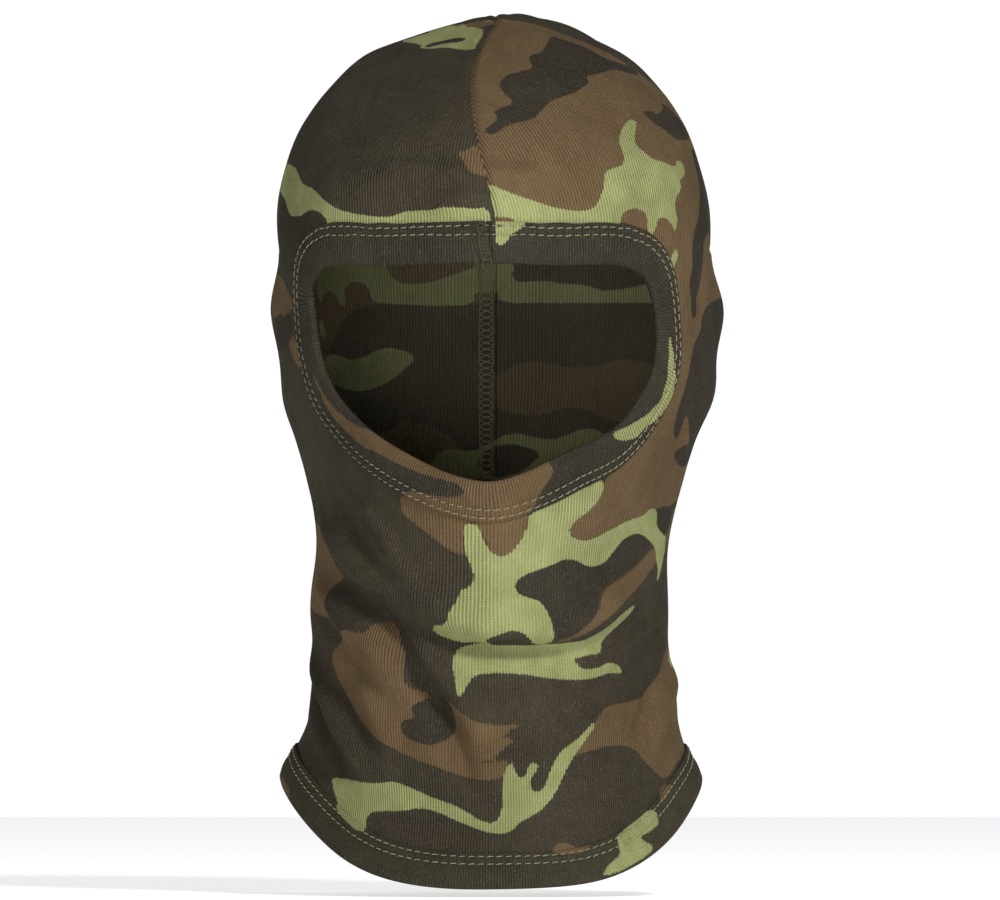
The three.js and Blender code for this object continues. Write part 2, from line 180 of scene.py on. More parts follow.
def shrink_at(up):
    """How far the oval has shrunk at a distance up the dome: 1 at the temples, 0 at the crossing."""
    turn = QUARTER * np.clip(up - TEMPLE, 0, DOME_LENGTH) / DOME_LENGTH
    return np.maximum(np.cos(turn), 0) ** (2 / DOME_ROUNDNESS)


# No head is quite even. Each line moves the sides by some millimetres about a height: height, half the
# height over which it is felt, and the move of the left side and of the right side.
UNEVEN = [
    (104, 27, -2.8, -2.7),  # the neck stands a little to the left
    (46, 18, -3.0, -0.8),  # the hem flares more on the left
    (268, 30, -2.6, 0.5),  # the skull is fuller on the left
    (211, 14, 1.2, 0.0),
    (187, 14, 0.6, 1.9),
]
CROWN_DIPS = [(-24, 20, 3.6), (38, 16, 1.2)]  # where across, half width, how deep
CROWN_START = 262.0  # the dips begin at this height and are full after the next distance
CROWN_RISE = 50.0


def uneven(points):
    x, y, z = points[..., 0], points[..., 1], points[..., 2]
    share = np.clip(x / (HEAD_WIDTH / 2), -1, 1)
    for height, reach, left, right in UNEVEN:
        felt = np.exp(-(((z - height) / reach) ** 2))
        x = x + felt * np.where(share < 0, -share * left, share * right)
    on_crown = np.clip((z - CROWN_START) / CROWN_RISE, 0, 1)
    for place, half, depth in CROWN_DIPS:
        z = z - on_crown * depth * np.exp(-(((points[..., 0] - place) / half) ** 2))
    return np.stack([x, y, z], -1)


def cloth_point(angle, up):
    """Points on the middle of the cloth's thickness, for places given as angles and distances up."""
    angle, up = np.broadcast_arrays(np.asarray(angle, float), np.asarray(up, float))
    turned = np.arctan2(np.sin(angle), np.cos(angle))
    ear = ((up - EAR_SHARE * CROWN_HEIGHT) / EAR_SPREAD) ** 2
    ear = ear + ((np.abs(turned) - EAR_ANGLE) / EAR_HALF_ANGLE) ** 2
    flare = np.maximum(0, 1 - (up - hem_height(angle)) / FLARE_HEIGHT) ** 1.5
    level = np.minimum(up, TEMPLE)
    wall = section_radius(angle, level) + EAR_BULGE * np.exp(-ear) + HEM_FLARE * flare
    shrink = shrink_at(up)
    dome = shrink * section_radius(angle, np.full_like(up, TEMPLE))
    radius = np.where(up < TEMPLE, wall, dome)
    x = radius * np.sin(angle)
    y = -radius * np.cos(angle) - CROSSING_FORWARD * (1 - shrink) ** 1.5
    inwards = np.hypot(x, y) / section_radius(np.arctan2(x, -y), np.full_like(up, TEMPLE))
    height = np.maximum(0, 1 - inwards ** DOME_ROUNDNESS) ** (1 / DOME_ROUNDNESS)
    z = np.where(up < TEMPLE, up, TEMPLE + DOME_HEIGHT * height)
    return uneven(np.stack([x, y, z], -1))


def cloth_slopes(angle, up):
    """The cloth's two directions at each place: per radian round the head and per millimetre up."""
    turn, rise = 0.01, 0.1
    top = np.minimum(up + rise, CROWN_AT)
    bottom = up - rise
    around = (cloth_point(angle + turn, up) - cloth_point(angle - turn, up)) / (2 * turn)
    climb = (cloth_point(angle, top) - cloth_point(angle, bottom)) / (top - bottom)[..., None]
    return around, climb


def unit(vectors):
    return vectors / np.linalg.norm(vectors, axis=-1, keepdims=True)


def cloth_normal(angle, up):
    around, climb = cloth_slopes(angle, np.minimum(up, CROWN_AT - 0.05))
    return unit(np.cross(around, climb))


def walk(angle, up, direction, distance):
    """The places reached by walking a distance over the cloth in a direction, two millimetres a step."""
    strides = max(1, math.ceil(np.abs(distance).max() / 2))
    for _ in range(strides):
        around, climb = cloth_slopes(angle, up)
        rr, rc, cc = [(a * b).sum(-1) for a, b in ((around, around), (around, climb), (climb, climb))]
        dr, dc = (direction * around).sum(-1), (direction * climb).sum(-1)
        step = distance / strides / (rr * cc - rc * rc)
        angle, up = angle + step * (dr * cc - dc * rc), up + step * (dc * rr - dr * rc)
    return angle, up


for label, height in (("hem", 12.0), ("neck", 60.0), ("chin", 100.0), ("ears", 212.0)):
    sides = cloth_point(np.array([-QUARTER, QUARTER, 0.0, math.pi]), np.full(4, height))
    print(f"{label}: {sides[1, 0] - sides[0, 0]:.0f} mm wide, {sides[3, 1] - sides[2, 1]:.0f} mm deep")

# %% [markdown]
# ## Flat places
#
# Folds and the print are drawn flat, as a maker draws on a pattern. The flat x is the distance round the
# head, drawn in as the dome narrows, and the flat y is the distance up. What is drawn as it looks from
# the front is laid on the cloth by looking for the place that shows at each drawn point.

# %% From the front view to the cloth and to the flat
ROUND_SIZE = HEAD_WIDTH / 2  # millimetres of flat x for each radian round the head
EDGE_OF_SIGHT = math.radians(88)
SEARCH_STEPS = 60


def wrapped(angle):
    return np.arctan2(np.sin(angle), np.cos(angle))


def flat_place(angle, up):
    return np.stack([wrapped(angle) * ROUND_SIZE * shrink_at(up), up], -1)


def place_seen_at(x, height):
    """The places whose points show at x and height to someone looking at the face."""
    x, height = np.asarray(x, float), np.asarray(height, float)
    angle = np.clip(x / (HEAD_WIDTH / 2), -1, 1)
    up = np.minimum(height, CROWN_AT - 20)
    for _ in range(SEARCH_STEPS):
        now = cloth_point(angle, up)
        around, climb = cloth_slopes(angle, up)
        across = np.maximum(around[..., 0], 12)
        rise = np.maximum(climb[..., 2], 0.12)
        angle = angle + np.clip(0.5 * (x - now[..., 0]) / across, -0.2, 0.2)
        angle = np.clip(angle, -EDGE_OF_SIGHT, EDGE_OF_SIGHT)
        up = up + np.clip(0.5 * (height - now[..., 2]) / rise, -6, 6)
        up = np.clip(up, -30, CROWN_AT - 1)
    return angle, up


def pairs(text):
    """Drawn points, written as 'x height, x height, ...'."""
    return np.array([[float(v) for v in pair.split()] for pair in text.split(",")])


# %% [markdown]
# ## Folds
#
# Cloth that is stretched over a face pulls into soft drag folds where it turns: down the jaw, under the
# chin, and where the neck of the mask is too wide for the neck inside it. Each fold is drawn as a stroke
# with a height and a width. A cloth simulation would make folds too, but not these folds in these
# places, and a knit this thin lies on the head everywhere else, so the strokes are pushed into the
# shape directly. Their ends fade out, as real folds do.

# %% Fold strokes
# x and height of the points, millimetres out (or in, when negative), half width of the fold
FOLDS = [
    ("-64 126, -52 110, -39 99, -13 88, 5 85, 24 84, 53 98, 68 114", -4.4, 3.6),  # under the jaw
    ("-62 142, -48 124, -36 111, -12 99, 6 96, 26 96, 50 111, 64 130", 3.2, 4.6),
    ("-24 89, -10 87, 4 86.3, 18 86.6, 34 91", -3.6, 1.6),  # the crease under the chin
    ("-14 80, 0 77, 14 78, 26 82", 1.2, 4.0),
    ("-66 142, -56 124, -45 110, -32 97, -24 91", 3.2, 3.2),  # drag folds down the jaw
    ("-60 146, -48 126, -36 112, -26 102", -2.9, 2.8),
    ("-52 146, -42 132, -33 120, -25 110", 2.2, 2.6),
    ("-46 141, -38 131, -30 122", -1.3, 2.4),
    ("-66 118, -60 104, -50 92, -40 82, -32 70", 2.4, 3.8),
    ("-66 108, -58 94, -48 82, -38 70", -2.2, 3.2),
    ("-50 112, -41 99, -33 86, -23 72, -16 60, -12 47, -8 36, -1 24", -5.0, 3.0),  # down the neck
    ("-38 106, -28 88, -17 74, -9 62, -5 50, -2 38, 6 26", 3.2, 4.2),
    ("-48 94, -38 78, -30 65, -22 50, -16 38", 2.8, 5.5),
    ("6 58, 9 46, 16 34", -1.4, 4.0),
    ("-68 92, -63 74, -57 58, -50 44, -42 34", 3.4, 3.4),  # folds over the left of the hem
    ("-70 80, -65 64, -57 48, -48 34", -3.2, 3.0),
    ("-62 86, -54 68, -47 54, -38 42", -2.8, 3.2),
    ("-52 84, -44 66, -36 50", 2.4, 4.0),
    ("66 84, 62 66, 58 52, 54 42", 2.8, 3.4),  # and the right
    ("60 80, 55 64, 50 50", -2.8, 3.4),
    ("66 108, 58 98, 48 92, 36 86", 2.6, 3.2),
    ("66 100, 56 90, 46 84", -2.4, 2.8),
    ("66 140, 58 128, 46 116, 34 104", 2.2, 3.4),
    ("-40 272, -26 270, -14 268.5, -7 268", -1.5, 1.9),  # pinched where the front seam pulls
    ("-36 266, -24 264.5, -12 263.5, -6 263", 1.3, 1.9),
    ("-32 259.5, -20 258.5, -6 258.5", -1.3, 1.8),
    ("-26 254, -14 253.5, -3 253.5", 0.9, 1.8),
    ("-7 270, 6 269, 20 267", -1.0, 2.0),
    ("-6 264.5, 6 263.5, 16 262.5", 0.9, 2.0),
    ("-62 268, -52 282, -36 287", -1.8, 6.0),  # a slack place on the left of the skull
    ("-66 252, -48 262, -30 266", 1.3, 5.0),
    ("-34 248, -20 246, -4 245", -0.8, 1.8),
    ("30 250, 48 262, 62 280", -0.7, 4.5),
]
BACK_FOLDS = [  # round the nape: angle in degrees and distance up
    ("150 96, 165 90, 180 88, 195 90, 210 96", -1.8, 5.0),
    ("145 82, 162 76, 180 74, 198 76, 215 82", 1.6, 5.0),
    ("150 66, 170 60, 190 61, 206 66", -1.3, 4.6),
    ("105 120, 118 104, 130 90, 142 80", 1.5, 5.0),
    ("255 120, 242 104, 230 90, 218 80", 1.5, 5.0),
    ("98 86, 110 72, 124 62", -1.4, 4.6),
    ("262 86, 250 72, 236 62", -1.4, 4.6),
]


def stroke_relief(flat, stroke, height, width):
    """The push of one fold at flat places: a ridge along the stroke that fades at both ends."""
    starts, ends = stroke[:-1], stroke[1:]
    lengths = np.linalg.norm(ends - starts, axis=1)
    total = lengths.sum()
    near = (np.abs(flat - stroke.mean(0)) < np.ptp(stroke, axis=0) / 2 + 4 * width).all(-1)
    spots = flat[near]
    best = np.full(len(spots), np.inf)
    place = np.zeros(len(spots))
    for a, b, length, before in zip(starts, ends, lengths, np.cumsum(lengths) - lengths):
        t = np.clip(((spots - a) @ (b - a)) / length ** 2, 0, 1)
        gap = np.linalg.norm(spots - (a + t[:, None] * (b - a)), axis=1)
        closer = gap < best
        best = np.where(closer, gap, best)
        place = np.where(closer, (before + t * length) / total, place)
    push = np.zeros(len(flat))
    rise = np.clip(np.minimum(place, 1 - place) / 0.32, 0, 1)
    push[near] = height * rise ** 2 * (3 - 2 * rise) * np.exp(-0.5 * (best / width) ** 2)
    return push


def softened(line):
    """The same stroke with its corners cut off twice, so that the fold has no kinks."""
    for _ in range(2):
        first, second = line[:-1], line[1:]
        cut = np.stack([0.75 * first + 0.25 * second, 0.25 * first + 0.75 * second], 1)
        line = np.concatenate([line[:1], cut.reshape(-1, 2), line[-1:]])
    return line


def flat_folds():
    made = []
    for text, height, width in FOLDS:
        drawn = pairs(text)
        made.append((softened(flat_place(*place_seen_at(drawn[:, 0], drawn[:, 1]))), height, width))
    for text, height, width in BACK_FOLDS:
        drawn = pairs(text)
        stroke = np.stack([(np.radians(drawn[:, 0]) - math.pi) * ROUND_SIZE, drawn[:, 1]], -1)
        made.append((softened(stroke), height, width))
    return made


FLAT_FOLDS = flat_folds()


def folds_at(angle, up):
    """How far the folds push the cloth out at each place."""
    shape = np.shape(angle)
    angle, up = np.ravel(angle), np.ravel(up)
    push = np.zeros(len(angle))
    front = flat_place(angle, up)
    back = np.stack([wrapped(angle - math.pi) * ROUND_SIZE, up], -1)
    for k, (stroke, height, width) in enumerate(FLAT_FOLDS):
        flat = front if k < len(FOLDS) else back
        push += stroke_relief(flat, stroke, height, width)
    waves = 0.5 * np.sin(angle * 7 + up * 0.11) * np.sin(angle * 3 - up * 0.07 + 1.0)
    return (push + waves).reshape(shape)


def worn_point(angle, up, off):
    """Points of the worn cloth, folds and all, some millimetres off the middle of its thickness."""
    lift = np.asarray(off + folds_at(angle, up))
    return cloth_point(angle, up) + cloth_normal(angle, up) * lift[..., None]


print("folds:", len(FLAT_FOLDS))

# %% [markdown]
# ## Lines of sewing
#
# The seams and the two folded edges are lines over the cloth. A line is a list of places, and beside
# every place we can walk a distance across the line and step off the cloth. That gives a local ruler of
# "out" and "off", in which a band's section or a stitch is drawn once and carried along.

# %% Lines over the cloth
# the folded edge round the face, clockwise from the middle of the top: shares of width and height
OPENING_OUTLINE = pairs(
    "0.04 1, 0.193 0.99, 0.379 0.985, 0.455 0.92, 0.5 0.74, 0.487 0.49, 0.405 0.262, 0.249 0.14, "
    "0.122 0.038, 0.044 0, -0.046 0.025, -0.178 0.115, -0.339 0.268, -0.444 0.46, -0.489 0.69, "
    "-0.5 0.87, -0.42 0.982, -0.224 0.99"
)


CURVE_STEPS = 60  # points between two corners of a smooth loop
SEAM_STEPS = 60  # points along a seam


def place_round(distance, height):
    """The places at a height, a distance round the cloth from the middle of the front."""
    distance = np.asarray(distance, float)
    height = np.asarray(height, float)
    strides = max(8, math.ceil(np.abs(distance).max() / 2))
    angle, up = np.zeros_like(distance), height.copy()
    for _ in range(strides):
        around, _climb = cloth_slopes(angle, up)
        angle = angle + distance / strides / np.linalg.norm(around, axis=-1)
        up = up + height - cloth_point(angle, up)[..., 2]
    return angle, up


def place_of(points):
    """The places on the cloth at the points' heights, in the same directions from the axis."""
    angle, up = np.arctan2(points[:, 0], -points[:, 1]), points[:, 2].copy()
    direction = angle.copy()
    for _ in range(30):
        now = cloth_point(angle, up)
        angle = angle + direction - np.arctan2(now[:, 0], -now[:, 1])
        up = up + (points[:, 2] - now[:, 2]) / 2
    return angle, up


def blend(first, second, low, high, at):
    """Runs from first to second as at runs from low to high."""
    return ((high - at) * first + (at - low) * second) / (high - low)


def smooth_loop(corners, count):
    """A closed centripetal curve through the corners, cut into equal steps."""
    size = len(corners)
    fine = []
    for i in range(size):
        p = corners[[(i - 1) % size, i, (i + 1) % size, (i + 2) % size]]
        knots = np.concatenate([[0], np.cumsum(np.linalg.norm(np.diff(p, axis=0), axis=1) ** 0.5)])
        t = np.linspace(knots[1], knots[2], CURVE_STEPS, endpoint=False)[:, None]
        a = [blend(p[k], p[k + 1], knots[k], knots[k + 1], t) for k in range(3)]
        b = [blend(a[k], a[k + 1], knots[k], knots[k + 2], t) for k in range(2)]
        fine.append(blend(b[0], b[1], knots[1], knots[2], t))
    return evenly(np.concatenate(fine), count, closed=True)


def evenly(points, count, closed=False):
    """The same line as count points at equal distances."""
    line = np.vstack([points, points[:1]]) if closed else points
    lengths = np.concatenate([[0], np.cumsum(np.linalg.norm(np.diff(line, axis=0), axis=1))])
    stops = np.linspace(0, lengths[-1], count, endpoint=not closed)
    return np.stack([np.interp(stops, lengths, line[:, k]) for k in range(line.shape[1])], -1)


class Line:
    """A line over the cloth. places(out) walks out to its side by a distance."""

    def __init__(self, angle, up, closed):
        self.angle, self.up, self.closed = angle, up, closed
        self.points = cloth_point(angle, up)
        if closed:
            ahead = np.roll(self.points, -1, 0) - np.roll(self.points, 1, 0)
        else:
            ahead = np.gradient(self.points, axis=0)
        self.ahead = unit(ahead)
        self.beside = unit(np.cross(cloth_normal(angle, up), self.ahead))
        steps = np.linalg.norm(np.diff(self.points, axis=0), axis=1)
        self.along = np.concatenate([[0], np.cumsum(steps)])
        self.length = self.along[-1] + (np.linalg.norm(self.points[0] - self.points[-1]) if closed else 0)

    def places(self, out):
        out = np.broadcast_to(np.asarray(out, float), self.angle.shape)
        return walk(self.angle, self.up, self.beside, out)


corners = cloth_point(*place_round(
    OPENING_OFFSET + OPENING_OUTLINE[:, 0] * OPENING_WIDTH,
    OPENING_BOTTOM + OPENING_OUTLINE[:, 1] * OPENING_HEIGHT,
))
BAND_STEPS = 640
opening = Line(*place_of(smooth_loop(corners, BAND_STEPS)), closed=True)
round_angles = np.linspace(-math.pi, math.pi, BAND_STEPS, endpoint=False)
hem = Line(round_angles, hem_height(round_angles), closed=True)

seam_top = CROWN_AT - SEAM_MEETING
fold_up = place_round(np.zeros(1), np.full(1, OPENING_BOTTOM + OPENING_HEIGHT))[1][0]
seam_foot = fold_up + FACE_BAND + 2
front_ups = np.linspace(seam_top, seam_foot, SEAM_STEPS)
front_share = (seam_top - front_ups) / (seam_top - seam_foot)
to_one_side = np.array([-1.0, 0, 0])
front_drift = SEAM_DRIFT * np.sin(math.pi * front_share)
front_places = walk(np.zeros(SEAM_STEPS), front_ups, to_one_side, front_drift)


def meridian(angle, foot):
    ups = np.linspace(seam_top, foot, SEAM_STEPS)
    return Line(np.full(SEAM_STEPS, angle), ups, closed=False)


seams = {
    "front_crown": Line(*front_places, closed=False),
    "back": meridian(math.pi, hem_height(math.pi) + HEM_BAND + 2),
    "left_crown": meridian(-QUARTER, CROWN_AT - SIDE_SEAM),
    "right_crown": meridian(QUARTER, CROWN_AT - SIDE_SEAM),
}
print(f"face edge {opening.length:.0f} mm, hem {hem.length:.0f} mm")
for name, seam in seams.items():
    print(f"{name} seam {seam.length:.0f} mm")


def seam_angle(up):
    """Where the front seam is at a distance up: it wanders a little to one side."""
    order = np.argsort(front_places[1])
    return np.interp(up, front_places[1][order], front_places[0][order], left=0, right=0)


# %% [markdown]
# ## Seams seen from outside
#
# An overlocked seam draws its cloth in: a narrow valley with a soft ridge on each side. The valley is
# measured in true millimetres from the seam, so that it keeps its width where the gores narrow.

# %% Seam relief
SEAM_VALLEY = 1.0  # how deep the seam is drawn in
SEAM_RIDGE = 0.4  # how high the cloth stands beside it
BACK_VALLEY = 0.6  # the back seam is slacker
BACK_RIDGE = 0.25
FLAT_CROSSING = 12.0  # within this distance of the crossing the seams flatten


def seam_profile(distance, valley=SEAM_VALLEY, ridge=SEAM_RIDGE):
    away = np.abs(distance)
    return ridge * np.exp(-(((away - 2.6) / 1.5) ** 2)) - valley * np.exp(-((away / 0.75) ** 2))


def seams_at(angle, up):
    """The push of the four seams at each place."""
    width = ROUND_SIZE * shrink_at(up)
    from_crossing = np.clip((CROWN_AT - up) / FLAT_CROSSING, 0, 1)
    front = wrapped(angle - seam_angle(up)) * width
    above_band = np.clip((up - seam_foot + 6) / 6, 0, 1)
    push = seam_profile(front) * above_band
    push = push + seam_profile(wrapped(angle - math.pi) * width, BACK_VALLEY, BACK_RIDGE)
    side_fade = np.clip((up - (CROWN_AT - SIDE_SEAM)) / 10, 0, 1)
    for side in (-QUARTER, QUARTER):
        push = push + seam_profile(wrapped(angle - side) * width) * side_fade
    return push * (0.35 + 0.65 * from_crossing)


def worn_body(angle, up, off):
    lift = np.asarray(off + folds_at(angle, up) + seams_at(angle, up))
    return cloth_point(angle, up) + cloth_normal(angle, up) * lift[..., None]


# %% [markdown]
# ## The print
#
# A woodland print is four inks laid one over the other: brown over a dark field, then leaf green, then
# brown-black. We keep each ink as a distance: at every corner of the cloth, how far inside the nearest
# shape it lies, in millimetres, and below zero outside. The material turns the distance into ink with a
# sharp edge that the knit roughens, so the print stays crisp however coarse the mesh is.
#
# The shapes are drawn as they look from the front. They are cut off at the front seam, because the two
# gores beside it were cut from different places of the cloth.

